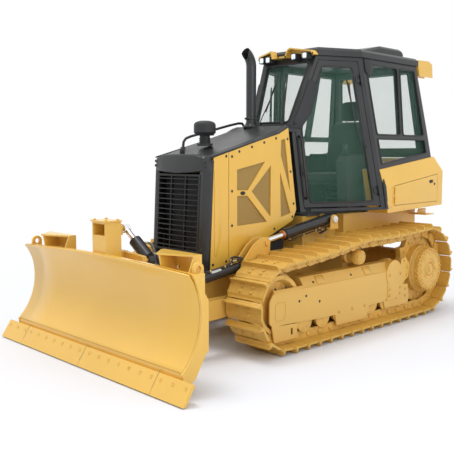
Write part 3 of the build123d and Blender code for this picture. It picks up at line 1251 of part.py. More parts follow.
with BuildPart() as angle_rod_left:
    bar(along(angle_pivot, angle_eye, angle_inner), along(angle_eye, angle_pivot, 24), angle_rod)
    bar(along(angle_pivot, angle_eye, angle_inner), along(angle_pivot, angle_eye, angle_inner + angle_piston),
        angle_bore)
    for half, radius in ((angle_eye_half, 36), (angle_eye_half + 3, angle_pin)):
        bar((angle_eye[0], angle_eye[1], angle_eye[2] - half),
            (angle_eye[0], angle_eye[1], angle_eye[2] + half), radius)
keep(angle_rod_left, "angle_rod_left")
keep(twin(angle_rod_left), "angle_rod_right")

# tilt cylinder, across the back of the blade's tower
tilt_barrel_radius, tilt_rod_radius, tilt_bore = 52.0, 25.0, 40.0
tilt_gland, tilt_inner, tilt_stroke_in = 235.0, 122.0, 75.0
eye_half = 30.0
with BuildPart() as tilt_barrel:
    bar(along(tilt_pivot, tilt_eye, 20), along(tilt_pivot, tilt_eye, tilt_gland), tilt_barrel_radius)
    bar((tilt_pivot[0], tilt_pivot[1] - eye_half, tilt_pivot[2]),
        (tilt_pivot[0], tilt_pivot[1] + eye_half, tilt_pivot[2]), 40)
    bar((tilt_pivot[0], tilt_pivot[1] - 70, tilt_pivot[2]),
        (tilt_pivot[0], tilt_pivot[1] + 70, tilt_pivot[2]), tilt_pin + seat_gap, mode=Mode.SUBTRACT)
    bar(along(tilt_pivot, tilt_eye, tilt_inner - tilt_stroke_in - 5),
        along(tilt_pivot, tilt_eye, tilt_gland - 20), tilt_bore + seat_gap, mode=Mode.SUBTRACT)
    bar(along(tilt_pivot, tilt_eye, tilt_gland - 21), along(tilt_pivot, tilt_eye, tilt_gland + 1),
        tilt_rod_radius + seat_gap, mode=Mode.SUBTRACT)
keep(tilt_barrel, "tilt_barrel")

with BuildPart() as tilt_rod:
    bar(along(tilt_pivot, tilt_eye, tilt_inner), along(tilt_eye, tilt_pivot, 20), tilt_rod_radius)
    bar(along(tilt_pivot, tilt_eye, tilt_inner), along(tilt_pivot, tilt_eye, tilt_inner + 12), tilt_bore)
    bar((tilt_eye[0], tilt_eye[1] - eye_half, tilt_eye[2]),
        (tilt_eye[0], tilt_eye[1] + eye_half, tilt_eye[2]), 36)
    bar((tilt_eye[0], tilt_eye[1] - 60, tilt_eye[2]), (tilt_eye[0], tilt_eye[1] + 60, tilt_eye[2]),
        tilt_pin + 12, mode=Mode.SUBTRACT)
keep(tilt_rod, "tilt_rod")
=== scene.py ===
import json
import math
import bmesh
import bpy
from mathutils import Matrix, Vector

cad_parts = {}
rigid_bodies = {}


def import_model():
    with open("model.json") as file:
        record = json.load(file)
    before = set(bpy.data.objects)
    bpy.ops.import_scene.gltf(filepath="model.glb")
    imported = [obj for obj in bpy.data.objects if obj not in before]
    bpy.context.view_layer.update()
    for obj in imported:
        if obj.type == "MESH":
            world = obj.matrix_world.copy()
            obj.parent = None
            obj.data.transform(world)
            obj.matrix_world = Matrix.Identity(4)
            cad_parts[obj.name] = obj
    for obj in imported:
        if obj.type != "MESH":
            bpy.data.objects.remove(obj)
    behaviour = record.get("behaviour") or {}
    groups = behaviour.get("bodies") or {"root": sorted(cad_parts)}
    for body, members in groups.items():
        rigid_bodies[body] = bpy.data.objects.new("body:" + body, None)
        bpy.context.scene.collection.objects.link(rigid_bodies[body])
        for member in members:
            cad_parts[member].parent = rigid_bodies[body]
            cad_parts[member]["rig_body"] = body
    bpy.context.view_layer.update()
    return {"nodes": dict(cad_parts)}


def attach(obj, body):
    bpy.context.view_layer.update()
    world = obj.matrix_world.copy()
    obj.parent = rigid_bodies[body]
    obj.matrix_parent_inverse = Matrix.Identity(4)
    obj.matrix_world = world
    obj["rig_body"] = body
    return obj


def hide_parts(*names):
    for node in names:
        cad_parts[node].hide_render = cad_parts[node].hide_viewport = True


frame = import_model()
nodes = frame["nodes"]
print("frame loaded:", len(nodes), "nodes")


class Wire:
    # an output socket whose maths is written as Python
    def __init__(self, graph, socket):
        self.graph = graph
        self.socket = socket

    def math(self, operation, *values):
        return self.graph.node("ShaderNodeMath", {"operation": operation}, dict(enumerate(values)))

    def __add__(self, other):
        return self.math("ADD", self, other)

    def __radd__(self, other):
        return self.math("ADD", other, self)

    def __sub__(self, other):
        return self.math("SUBTRACT", self, other)

    def __rsub__(self, other):
        return self.math("SUBTRACT", other, self)

    def __mul__(self, other):
        return self.math("MULTIPLY", self, other)

    def __pow__(self, other):
        return self.math("POWER", self, other)

    def over(self, level, soft):
        # 0 below level, 1 above it, with a soft edge
        settings = {"interpolation_type": "SMOOTHSTEP"}
        return self.graph.node("ShaderNodeMapRange", settings,
                               {"Value": self, "From Min": level - soft, "From Max": level + soft})


class Graph:
    # one material's nodes, made by a single method
    def __init__(self, name):
        self.material = bpy.data.materials.new(name)
        self.material.use_nodes = True
        self.tree = self.material.node_tree
        self.shader = self.tree.nodes["Principled BSDF"]
        self.place = self.node("ShaderNodeTexCoord", output="Object")

    def node(self, kind, settings=None, inputs=None, output=0):
        made = self.tree.nodes.new(kind)
        for key, value in (settings or {}).items():
            setattr(made, key, value)
        for key, value in (inputs or {}).items():
            self.feed(made.inputs[key], value)
        return Wire(self, made.outputs[output])

    def feed(self, socket, value):
        if isinstance(value, Wire):
            self.tree.links.new(value.socket, socket)
        elif isinstance(value, tuple) and len(value) == 3 and socket.type == "RGBA":
            socket.default_value = (*value, 1.0)
        else:
            socket.default_value = value

    def noise(self, scale, detail=3.0, place=None):
        inputs = {"Vector": place or self.place, "Scale": scale, "Detail": detail}
        return self.node("ShaderNodeTexNoise", None, inputs)

    def mix(self, factor, first, second, blend="MIX"):
        settings = {"data_type": "RGBA", "blend_type": blend}
        return self.node("ShaderNodeMix", settings, {"Factor": factor, 6: first, 7: second}, output=2)

    def axes(self, place=None):
        split = self.node("ShaderNodeSeparateXYZ", None, {0: place or self.place})
        return [Wire(self, split.socket.node.outputs[i]) for i in range(3)]

    def bump(self, height, distance, strength=0.5, edge=0.0):
        inputs = {"Height": height, "Distance": distance, "Strength": strength}
        if edge:
            inputs["Normal"] = self.node("ShaderNodeBevel", {"samples": 4}, {"Radius": edge})
        return self.node("ShaderNodeBump", None, inputs)

    def set(self, **values):
        for key, value in values.items():
            self.feed(self.shader.inputs[key.replace("_", " ")], value)
        return self.material


paint = {
    "yellow": (0.840, 0.500, 0.072),
    "black": (0.022, 0.023, 0.024),
    "edgeRadius": 0.0035,
    "peelScale": 420.0,
}


def shaded(colour, share):
    return tuple(c * share for c in colour)


def gloss(name, colour, dusty, roughness, coat, dust=(0.52, 0.34, 0.12)):
    # sprayed enamel: orange peel, faint clouding, dust where it settles low down
    g = Graph(name)
    height = g.axes()[2]
    cloud = g.noise(1.7, 4.0).over(0.52, 0.22)
    speck = g.noise(160.0, 2.0).over(0.66, 0.05)
    low = 1.0 - height.over(0.55, 0.55)
    toned = g.mix(cloud * 0.55, colour, shaded(colour, 0.90))
    settled = g.mix((low * 0.35 + speck * 0.10) * dusty, toned, dust)
    peel = g.noise(paint["peelScale"], 2.0)
    rough = roughness + cloud * 0.06 + low * (0.12 * dusty)
    return g.set(Base_Color=settled, Roughness=rough, Coat_Weight=coat, Coat_Roughness=0.12,
                 Normal=g.bump(peel, 0.0004, 0.25, paint["edgeRadius"]))


def castPaint(name, colour, seam):
    # paint over castings and forgings: coarser skin and grime in random patches
    g = Graph(name)
    grain = g.noise(95.0, 5.0)
    patch = g.noise(5.5, 5.0).over(0.55, 0.18)
    grime = g.noise(21.0, 6.0).over(0.60, 0.12)
    toned = g.mix(patch * 0.5, colour, shaded(colour, 0.82))
    dirty = g.mix(grime * 0.32, toned, seam)
    return g.set(Base_Color=dirty, Roughness=0.50 + grime * 0.2, Coat_Weight=0.08, Coat_Roughness=0.3,
                 Normal=g.bump(grain, 0.0012, 0.35, paint["edgeRadius"]))


def powderBlack(name, colour, roughness, grainScale):
    # black powder coat and textured mouldings
    g = Graph(name)
    grain = g.noise(grainScale, 3.0)
    cloud = g.noise(3.0, 3.0).over(0.55, 0.2)
    toned = g.mix(cloud * 0.5, colour, shaded(colour, 1.35))
    return g.set(Base_Color=toned, Roughness=roughness + cloud * 0.07,
                 Normal=g.bump(grain, 0.0006, 0.3, paint["edgeRadius"]))


def chromed(name):
    g = Graph(name)
    smear = g.noise(14.0, 4.0).over(0.6, 0.2)
    return g.set(Base_Color=g.mix(smear * 0.4, (0.86, 0.86, 0.88), (0.70, 0.70, 0.72)), Metallic=1.0,
                 Roughness=0.07 + smear * 0.08)


def tintedGlass(name):
    g = Graph(name)
    haze = g.noise(2.5, 3.0).over(0.58, 0.25)
    return g.set(Base_Color=g.mix(haze, (0.12, 0.30, 0.21), (0.15, 0.34, 0.25)), Roughness=0.02,
                 Alpha=0.11 + haze * 0.02, IOR=1.45, Specular_IOR_Level=0.3)


def perforated(name):
    # painted sheet with a close pattern of round holes; each hole is painted near black as painted shade for
    # the dark space behind it
    g = Graph(name)
    holes = {"pitch": 0.0042, "radius": 0.34}
    scaled = g.node("ShaderNodeMapping", None, {"Vector": g.place, "Scale": (1 / holes["pitch"],) * 3})
    y, z = g.axes(scaled)[1:]
    u = y.math("FRACT", y) - 0.5
    v = z.math("FRACT", z) - 0.5
    away = (u * u + v * v) ** 0.5
    solid = away.over(holes["radius"], 0.08)
    cloud = g.noise(3.0, 3.0).over(0.5, 0.3)
    sheet = g.mix(cloud * 0.5, (0.55, 0.345, 0.085), (0.46, 0.29, 0.07))
    # painted shade: the near-black colour in the holes stands in for the shade behind the sheet
    return g.set(Base_Color=g.mix(solid, (0.075, 0.052, 0.020), sheet), Roughness=0.55,
                 Normal=g.bump(solid, 0.0008, 0.6))


def rubbery(name, colour, rib):
    g = Graph(name)
    grain = g.noise(600.0, 2.0)
    dusty = g.noise(30.0, 4.0).over(0.55, 0.2)
    return g.set(Base_Color=g.mix(dusty * 0.6, colour, tuple(c * 1.7 + 0.01 for c in colour)),
                 Roughness=0.55 + dusty * 0.15, Normal=g.bump(grain, rib, 0.4))


def woven(name, colour):
    # seat cloth: two crossing threads
    g = Graph(name)
    x, y, z = g.axes()
    thread = 900.0
    warp = x.math("SINE", x * thread)
    weft = x.math("SINE", (y + z) * thread)
    weave = warp * weft * 0.5 + 0.5
    patch = g.noise(12.0, 4.0)
    return g.set(Base_Color=g.mix(weave, colour, shaded(colour, 1.8)), Roughness=0.85 + patch * 0.1,
                 Sheen_Weight=0.3, Normal=g.bump(weave, 0.0006, 0.5))


def brushed(name, colour, roughness):
    g = Graph(name)
    stretched = g.node("ShaderNodeMapping", None, {"Vector": g.place, "Scale": (900.0, 30.0, 30.0)})
    lines = g.noise(1.0, 2.0, stretched)
    return g.set(Base_Color=g.mix(lines, colour, shaded(colour, 0.8)), Metallic=1.0,
                 Roughness=roughness + lines * 0.12, Normal=g.bump(lines, 0.0003, 0.2, 0.002))


def lampLens(name):
    g = Graph(name)
    x = g.axes()[0]
    flute = x.math("SINE", x * 520.0) * 0.5 + 0.5
    return g.set(Base_Color=g.mix(flute, (0.80, 0.90, 0.90), (0.96, 0.99, 1.0)), Metallic=0.35,
                 Roughness=0.06 + flute * 0.05, Coat_Weight=1.0, Coat_Roughness=0.02,
                 Normal=g.bump(flute, 0.001, 0.3),
                 Emission_Color=(0.85, 0.95, 1.0), Emission_Strength=0.25)


finish = {
    "yellow": gloss("yellowEnamel", paint["yellow"], 0.35, 0.30, 0.45),
    "deck": gloss("undercarriageEnamel", (0.770, 0.455, 0.085), 0.5, 0.40, 0.15),
    "cast": castPaint("castYellow", (0.735, 0.430, 0.082), (0.34, 0.195, 0.045)),
    # painted shade: the shoes get a darker copy of the machine's yellow, standing in for the shade on the
    # track; the real shoes wear the same yellow as the machine
    "shoe": castPaint("shoeYellowShaded", (0.660, 0.385, 0.066), (0.45, 0.265, 0.065)),
    "black": powderBlack("blackEnamel", paint["black"], 0.33, 260.0),
    "moulded": powderBlack("blackMoulding", (0.019, 0.020, 0.021), 0.55, 120.0),
    "cabLining": powderBlack("cabLining", (0.062, 0.064, 0.066), 0.60, 140.0),
    "barrel": powderBlack("blackCylinder", (0.020, 0.020, 0.022), 0.24, 420.0),
    "chrome": chromed("chromeRod"),
    "glass": tintedGlass("greenGlass"),
    "screen": perforated("punchedSheet"),
    "hose": rubbery("hoseRubber", (0.022, 0.022, 0.022), 0.0006),
    "seat": woven("seatCloth", (0.020, 0.021, 0.023)),
    "steel": brushed("turnedSteel", (0.60, 0.59, 0.57), 0.30),
    "zinc": brushed("yellowZinc", (0.62, 0.52, 0.30), 0.32),
    "lens": lampLens("lampLens"),
    "copper": brushed("copperRing", (0.72, 0.33, 0.16), 0.34),
    "sleeve": rubbery("hoseSleeve", (0.115, 0.130, 0.105), 0.0008),
    "label": gloss("bareLabel", (0.80, 0.80, 0.78), 0.1, 0.30, 0.3),
    "worn": castPaint("wornSteel", (0.42, 0.29, 0.12), (0.16, 0.11, 0.06)),
    "plate": gloss("blankPlate", (0.70, 0.66, 0.55), 0.2, 0.35, 0.2),
}
print("finishes made:", len(finish))

nodeFinish = {
    "yellow": ["hood_panels", "side_box_left", "side_box_right", "service_door_left", "service_door_right",
               "blade", "cutting_edges", "lamp_visors", "rear_tank"],
    "deck": ["c_frame", "blade_swivel", "track_frame_left", "track_frame_right", "main_frame", "rear_hitch",
             "lift_yokes"],
    "cast": ["idlers", "track_rollers", "sprockets", "final_drives"],
    "shoe": ["track_left", "track_right"],
    "black": ["nose_casing", "hood_top", "exhaust_stack", "cab_frame", "cab_roof", "roof_unit",
              "cab_door_left", "cab_door_right"],
    "moulded": ["grille", "precleaner", "work_lamps", "engine_block", "radiator"],
    "cabLining": ["cab_tub", "operator_console"],
    "barrel": ["lift_barrel_left", "lift_barrel_right", "angle_barrel_left", "angle_barrel_right",
               "tilt_barrel"],
    "chrome": ["lift_rod_left", "lift_rod_right", "angle_rod_left", "angle_rod_right", "tilt_rod"],
    "glass": ["cab_glass", "cab_door_left_glass", "cab_door_right_glass"],
    "screen": ["hood_screens"],
    "seat": ["operator_seat"],
}
for finishName, names in nodeFinish.items():
    for name in names:
        nodes[name].data.materials.clear()
        nodes[name].data.materials.append(finish[finishName])
bodyOf = {name: node["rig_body"] for name, node in nodes.items()}
print("frame painted")


origin, upward = (0, 0, 0), (0, 0, 1)
sides = ((1, "left"), (-1, "right"))


def turnAngles(count, shift=0.0):
    return [2 * math.pi * (k + shift) / count for k in range(count)]


class Shape:
    # a mesh under way; every call adds one closed form to it
    def __init__(self):
        self.mesh = bmesh.new()

    def skin(self, rings, closed=False):
        made = [[self.mesh.verts.new(point) for point in ring] for ring in rings]
        for first, second in zip(made, made[1:] + (made[:1] if closed else [])):
            for i, corner in enumerate(first):
                j = (i + 1) % len(first)
                self.mesh.faces.new((corner, first[j], second[j], second[i]))
        if not closed:
            self.mesh.faces.new(made[0][::-1])
            self.mesh.faces.new(made[-1])
        return self

    def tube(self, points, radius, steps=10, closed=False):
        # a round bar or hose through the points
        line = [Vector(p) for p in points]
        side = None
        rings = []
        for i, point in enumerate(line):
            before = line[i - 1] if i or closed else point
            after = line[(i + 1) % len(line)] if i < len(line) - 1 or closed else point
            run = (after - before).normalized()
            if side is None:
                side = run.orthogonal().normalized()
            side = (side - run * side.dot(run)).normalized()
            other = run.cross(side)
            spokes = [side * math.cos(a) + other * math.sin(a) for a in turnAngles(steps)]
            rings.append([point + spoke * radius for spoke in spokes])
        return self.skin(rings, closed)

    def turned(self, center, axis, profile, steps=24):
        # (distance along the axis, radius) pairs turned about it
        run = Vector(axis).normalized()
        side = run.orthogonal().normalized()
        other = run.cross(side)
        spokes = [side * math.cos(a) + other * math.sin(a) for a in turnAngles(steps, 0.5)]
        return self.skin([[Vector(center) + run * reach + spoke * max(radius, 1e-4) for spoke in spokes]
                          for reach, radius in profile])

    def stud(self, point, way, radius, height, steps=12):
        return self.turned(point, way, [(0, radius), (height, radius)], steps)

    def plug(self, point, way, radius, height, top, steps=12, lip=0.002):
        # a stud whose rim is chamfered down to the top's radius
        return self.turned(point, way, [(0, radius), (height - lip, radius), (height, top)], steps)

    def slab(self, outline, thick):
        # a closed outline of 3-D points given a thickness, as a vector
        shift = Vector(thick)
        return self.skin([[Vector(p) for p in outline], [Vector(p) + shift for p in outline]])

    def block(self, low, high):
        (x0, y0, z0), (x1, y1, z1) = low, high
        return self.slab([(x0, y0, z0), (x1, y0, z0), (x1, y1, z0), (x0, y1, z0)], (0, 0, z1 - z0))

    def toMesh(self, name, material, sharpAngle=35.0):
        bmesh.ops.recalc_face_normals(self.mesh, faces=self.mesh.faces)
        mesh = bpy.data.meshes.new(name)
        self.mesh.to_mesh(mesh)
        self.mesh.free()
        mesh.materials.append(material)
        mesh.shade_smooth()
        mesh.set_sharp_from_angle(angle=math.radians(sharpAngle))
        return mesh


def placeInScene(name, data):
    placed = bpy.data.objects.new(name, data)
    bpy.context.scene.collection.objects.link(placed)
    return placed


def placePiece(name, mesh, body, replaced=()):
    piece = placeInScene(name, mesh)
    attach(piece, body)
    if replaced:
        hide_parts(*replaced)
    return piece


def roundEdges(holder, width, steps, angle=35.0):
    rounding = holder.modifiers.new("rounding", "BEVEL")
    rounding.width = width
    rounding.segments = steps
    rounding.limit_method = "ANGLE"
    rounding.angle_limit = math.radians(angle)


def keepShape(name, shape, finishName, body, replaced=(), edge=0.0, steps=2, sharpAngle=35.0):
    # a finished shape, with its edges rounded where a width is given
    mesh = shape.toMesh(name, finish[finishName], sharpAngle)
    if edge:
        holder = placeInScene(name + "Raw", mesh)
        roundEdges(holder, edge, steps, sharpAngle)
        mesh = bakedMesh(holder)
        mesh.shade_smooth()
        mesh.set_sharp_from_angle(angle=math.radians(sharpAngle + 15))
    return placePiece(name, mesh, body, replaced)


def bakedMesh(holder):
    # the evaluated mesh of a helper object, which is then removed
    seen = bpy.context.evaluated_depsgraph_get()
    mesh = bpy.data.meshes.new_from_object(holder.evaluated_get(seen))
    bpy.data.objects.remove(holder)
    return mesh


def facing(point, normal, up=(0, 0, 1)):
    # a place on a surface: local Z leaves it, local Y points up it
    z = Vector(normal).normalized()
    x = Vector(up).cross(z)
    x = x.normalized() if x.length > 1e-4 else Vector((1, 0, 0))
    place = Matrix((x, z.cross(x), z)).transposed().to_4x4()
    place.translation = Vector(point)
    return place


def outward(side, x, y, z):
    # a place on a face that looks out to one side
    return facing((side * x, y, z), (side, 0, 0))


def repeatTree():
    # puts a template on every spot, with a seeded random twist about its own axis
    tree = bpy.data.node_groups.new("repeatOnSpots", "GeometryNodeTree")
    sockets = (("Spots", "Geometry", None), ("Template", "Object", None), ("Size", "Float", 1.0),
               ("Twist", "Float", 0.0), ("Seed", "Int", 7), ("Finish", "Material", None))
    for label, kind, default in sockets:
        made = tree.interface.new_socket(label, in_out="INPUT", socket_type="NodeSocket" + kind)
        if default is not None:
            made.default_value = default
    tree.interface.new_socket("Result", in_out="OUTPUT", socket_type="NodeSocketGeometry")

    def node(kind, settings=None, inputs=None):
        made = tree.nodes.new(kind)
        for key, value in (settings or {}).items():
            setattr(made, key, value)
        for key, value in (inputs or {}).items():
            if isinstance(value, bpy.types.NodeSocket):
                tree.links.new(value, made.inputs[key])
            else:
                made.inputs[key].default_value = value
        return made

    given = node("NodeGroupInput").outputs
    template = node("GeometryNodeObjectInfo", None, {"Object": given["Template"]}).outputs["Geometry"]
    turn = node("GeometryNodeInputNamedAttribute", {"data_type": "FLOAT_VECTOR"}, {"Name": "turn"})
    placed = node("GeometryNodeInstanceOnPoints", None,
                  {"Points": given["Spots"], "Instance": template, "Rotation": turn.outputs["Attribute"],
                   "Scale": given["Size"]})
    angle = node("FunctionNodeRandomValue", {"data_type": "FLOAT"}, {"Seed": given["Seed"]})
    low = node("ShaderNodeMath", {"operation": "MULTIPLY"}, {0: given["Twist"], 1: -1.0})
    floats = [socket for socket in angle.inputs if socket.type == "VALUE"]
    tree.links.new(low.outputs[0], floats[0])
    tree.links.new(given["Twist"], floats[1])
    twist = [socket for socket in angle.outputs if socket.type == "VALUE"][0]
    spin = node("ShaderNodeCombineXYZ", None, {"Z": twist}).outputs[0]
    spun = node("GeometryNodeRotateInstances", None,
                {"Instances": placed.outputs[0], "Rotation": spin, "Local Space": True})
    real = node("GeometryNodeRealizeInstances", None, {"Geometry": spun.outputs[0]})
    painted = node("GeometryNodeSetMaterial", None,
                   {"Geometry": real.outputs[0], "Material": given["Finish"]})
    node("NodeGroupOutput", None, {"Result": painted.outputs[0]})
    return tree


repeater = repeatTree()


def repeatShape(name, shape, spots, finishName, body, twist=0.0, size=1.0, replaced=(), edge=0.0):
    # one plain mesh of a shape repeated on the spots
    template = placeInScene(name + "Template", shape.toMesh(name + "Template", finish[finishName]))
    if edge:
        roundEdges(template, edge, 1)
    cloud = bpy.data.meshes.new(name + "Spots")
    cloud.from_pydata([spot.translation for spot in spots], [], [])
    turns = cloud.attributes.new("turn", "FLOAT_VECTOR", "POINT")
    for i, spot in enumerate(spots):
        turns.data[i].vector = spot.to_euler()
    holder = placeInScene(name + "Raw", cloud)
    modifier = holder.modifiers.new("repeat", "NODES")
    modifier.node_group = repeater
    values = {"Template": template, "Size": size, "Twist": twist, "Finish": finish[finishName]}
    for item in repeater.interface.items_tree:
        if item.item_type == "SOCKET" and item.in_out == "INPUT" and item.name in values:
            modifier[item.identifier] = values[item.name]
    mesh = bakedMesh(holder)
    bpy.data.objects.remove(template)
    mesh.set_sharp_from_angle(angle=math.radians(35.0))
    return placePiece(name, mesh, body, replaced)


# bolt heads are left turned at random about their axes, by up to this much either way
boltTwist = 3.0


def hexHead(radius, height, washer=1.45):
    # a bolt head on its washer
    head = Shape()
    head.turned(origin, upward, [(-0.0006, radius * washer), (0.0018, radius * washer)], 12)
    hexagon = [(0.001, radius), (height * 0.85, radius), (height, radius * 0.82)]
    return head.turned(origin, upward, hexagon, 6)


def domeHead(radius, height):
    profile = [(-0.0006, radius), (height * 0.35, radius), (height * 0.8, radius * 0.75),
               (height, radius * 0.3)]
    return Shape().turned(origin, upward, profile, 12)


def spaced(start, end, count):
    # points along a line, its two ends among them
    first, last = Vector(start), Vector(end)
    return [first.lerp(last, i / (count - 1)) for i in range(count)]


def circleAt(x, y, z, radius, count, shift=0.0):
    # points round a circle that faces sideways
    angles = turnAngles(count, shift)
    return [Vector((x, y + radius * math.cos(a), z + radius * math.sin(a))) for a in angles]


def rounded(outline, share=0.12, steps=4):
    # a closed outline with its corners rounded off
    made = []
    for i, point in enumerate(outline):
        corner, before = Vector(point), Vector(outline[i - 1])
        after = Vector(outline[(i + 1) % len(outline)])
        reach = share * min((before - corner).length, (after - corner).length)
        start = corner + (before - corner).normalized() * reach
        end = corner + (after - corner).normalized() * reach
        for k in range(steps + 1):
            t = k / steps
            made.append(start * (1 - t) ** 2 + corner * 2 * t * (1 - t) + end * t ** 2)
    return made


track = {
    "gauge": 1.495,
    "shoeWidth": 0.406,
    "shoes": 42,
    "idler": ((-0.684, 0.405), 0.305),
    "carrier": ((0.430, 0.704), 0.114),
    "sprocket": ((1.519, 0.475), 0.375),
    "sag": 0.014,
    "seat": 0.038,
    "plate": 0.0585,
    "lugTip": 0.0998,
    "clip": 0.016,
    "boltsAcross": (-0.062, 0.062),
    "boltsAlong": (-0.22, 0.07),
    "boltRadius": 0.0135,
}

chain = {
    "rail": 0.0415,
    "plate": (0.0535, 0.0705),
    "crank": 0.008,
    "pinStart": 0.068,
    "pinRadius": 0.019,
    "bushing": (0.045, 0.0215),
}


def onCircle(circle, angle):
    (y, z), radius = circle
    return Vector((0, y + radius * math.cos(angle), z + radius * math.sin(angle)))


def upperTangent(first, second):
    (y0, z0), r0 = first
    (y1, z1), r1 = second
    return math.atan2(z1 - z0, y1 - y0) + math.acos((r0 - r1) / math.hypot(y1 - y0, z1 - z0))


def arcLine(circle, start, end, count):
    return [onCircle(circle, start + (end - start) * i / count) for i in range(count + 1)]


def hungLine(start, end, sag, count=24):
    line = []
    for i in range(1, count):
        point = start.lerp(end, i / count)
        point.z -= sag * math.sin(math.pi * i / count)
        line.append(point)
    return line


def pinLine():
    # the closed line of the link pins: down round the sprocket, forward, back over the top
    idler, carrier, sprocket = track["idler"], track["carrier"], track["sprocket"]
    front, rear = upperTangent(idler, carrier), upperTangent(carrier, sprocket)
    line = arcLine(sprocket, 0, -math.pi / 2, 45)
    line += arcLine(idler, 1.5 * math.pi, front, 90)
    line += hungLine(line[-1], onCircle(carrier, front), track["sag"])
    line += arcLine(carrier, front, rear, 8)
    line += hungLine(line[-1], onCircle(sprocket, rear), track["sag"])
    return line + arcLine(sprocket, rear, 0, 60)


def trackPins():
    line = pinLine()
    lengths = [0.0]
    for before, after in zip(line, line[1:]):
        lengths.append(lengths[-1] + (after - before).length)
    pitch = lengths[-1] / track["shoes"]
    pins, i = [], 0
    for k in range(track["shoes"]):
        reach = (k + 0.5) * pitch
        while lengths[i + 1] < reach:
            i += 1
        pins.append(line[i].lerp(line[i + 1], (reach - lengths[i]) / (lengths[i + 1] - lengths[i])))
    return pins, pitch


def shoeShape(pitch):
    # single-bar shoe: front lip tucked under its neighbour, tall lug at the rear, clipped corners
    half, clip = track["shoeWidth"] / 2, track["clip"]
    base, top, tip = track["seat"], track["plate"], track["lugTip"]
    # share of the pitch, height over the pin line
    profile = [(-0.60, base + 0.0005), (-0.60, top - 0.0135), (-0.50, top - 0.0130), (-0.44, top - 0.010),
               (-0.37, top - 0.001), (-0.33, top), (0.18, top), (0.235, top + 0.005), (0.262, tip - 0.010),
               (0.275, tip), (0.345, tip), (0.365, tip - 0.012), (0.40, top + 0.010), (0.49, top + 0.0025),
               (0.50, top - 0.008), (0.40, top - 0.011), (0.36, base + 0.001), (-0.42, base)]
    shares = [share for share, z in profile]
    rings = []
    for x, cut in ((-half, clip), (-half + clip, 0.0), (half - clip, 0.0), (half, clip)):
        low, high = min(shares) * pitch + cut, max(shares) * pitch - cut
        rings.append([(x, min(high, max(low, share * pitch)), z - (cut * 0.8 if z > top + 0.02 else 0))
                      for share, z in profile])
    shoe = Shape().skin(rings)
    for x in track["boltsAcross"]:
        for share in track["boltsAlong"]:
            radius = track["boltRadius"]
            shoe.plug((x, share * pitch, top - 0.001), upward, radius, 0.013, radius - 0.0025, 6, 0.003)
    return shoe


def linkShape(pitch):
    # a pair of link plates, each cranked to pass its neighbour, with the bushing between
    rail, seat = chain["rail"], track["seat"]
    reach = pitch / 2
    outline = [(-reach - 0.030, -0.022), (-reach - 0.036, 0.0), (-reach - 0.030, 0.022),
               (-reach - 0.010, 0.034), (-reach + 0.020, seat), (reach - 0.030, seat), (reach - 0.006, 0.034),
               (reach + 0.020, 0.026), (reach + 0.032, 0.006), (reach + 0.030, -0.014),
               (reach + 0.014, -0.030), (reach - 0.014, -rail), (0.014, -rail), (0.0, -rail + 0.008),
               (-0.014, -rail), (-reach + 0.006, -rail)]
    cranked = [(chain["crank"] * max(-1.0, min(1.0, -y / (0.45 * reach))), y, z) for y, z in outline]
    made = Shape()
    for side in (-1, 1):
        made.skin([[(side * (x + crank), y, z) for crank, y, z in cranked] for x in chain["plate"]])
        made.plug((side * chain["pinStart"], -reach, 0), (side, 0, 0), chain["pinRadius"], 0.018, 0.015)
    half, radius = chain["bushing"]
    return made.stud((-half, -reach, 0), (1, 0, 0), radius, 2 * half)


def makeTracks():
    pins, pitch = trackPins()
    for side, label in sides:
        spots = []
        for first, second in zip(pins, pins[1:] + pins[:1]):
            run = (second - first).normalized()
            out = Vector((0, -run.z, run.y))
            place = Matrix((Vector((1, 0, 0)), run, out)).transposed().to_4x4()
            place.translation = (first + second) / 2 + Vector((side * track["gauge"] / 2, 0, 0))
            spots.append(place)
        node = "track_" + label
        body = bodyOf[node]
        repeatShape(label + "Shoes", shoeShape(pitch), spots, "shoe", body, replaced=(node,), edge=0.0025)
        repeatShape(label + "Links", linkShape(pitch), spots, "cast", body, replaced=(node,))
    print("tracks laid:", len(pins), "shoes a side, pitch", round(pitch, 4))


makeTracks()

wheels = {
    # count, ring radius, x, head radius, first bolt's share of a step
    "CapBolts": (28, 0.2245, 0.9042, 0.0085, 0.0),
    "FlangeBolts": (15, 0.307, 0.7757, 0.0125, 0.0),
    "CoverBolts": (28, 0.2000, 0.9378, 0.0105, 0.5),
    "hubFace": 0.938,
    "boss": ((-0.012, 0.064), (-0.006, 0.064), (0.000, 0.056), (0.000, 0.030), (0.005, 0.026), (0.006, 0.0)),
    "plugs": ((0.106, 0.0), (-0.085, -0.063)),
    "ridges": (0.100, 0.178),
}


def makeWheelTrim():
    y, z = track["sprocket"][0]
    for side, label in sides:
        for key in ("CapBolts", "FlangeBolts", "CoverBolts"):
            count, radius, x, head, shift = wheels[key]
            spots = [facing(p, (side, 0, 0)) for p in circleAt(side * x, y, z, radius, count, shift)]
            bolt = hexHead(head, head * 0.9, 1.3)
            repeatShape(label + key, bolt, spots, "cast", "chassis", twist=boltTwist)
        face = side * wheels["hubFace"]
        cap = Shape().turned((face, y, z), (side, 0, 0), wheels["boss"], 28)
        for along, rise in wheels["plugs"]:
            cap.plug((face - side * 0.001, y + along, z + rise), (side, 0, 0), 0.013, 0.011, 0.010, 6)
        for radius in wheels["ridges"]:
            cap.tube(circleAt(face, y, z, radius, 48), 0.0035, 6, closed=True)
        keepShape(label + "HubCap", cap, "cast", "chassis")
    print("hubs bolted")


makeWheelTrim()

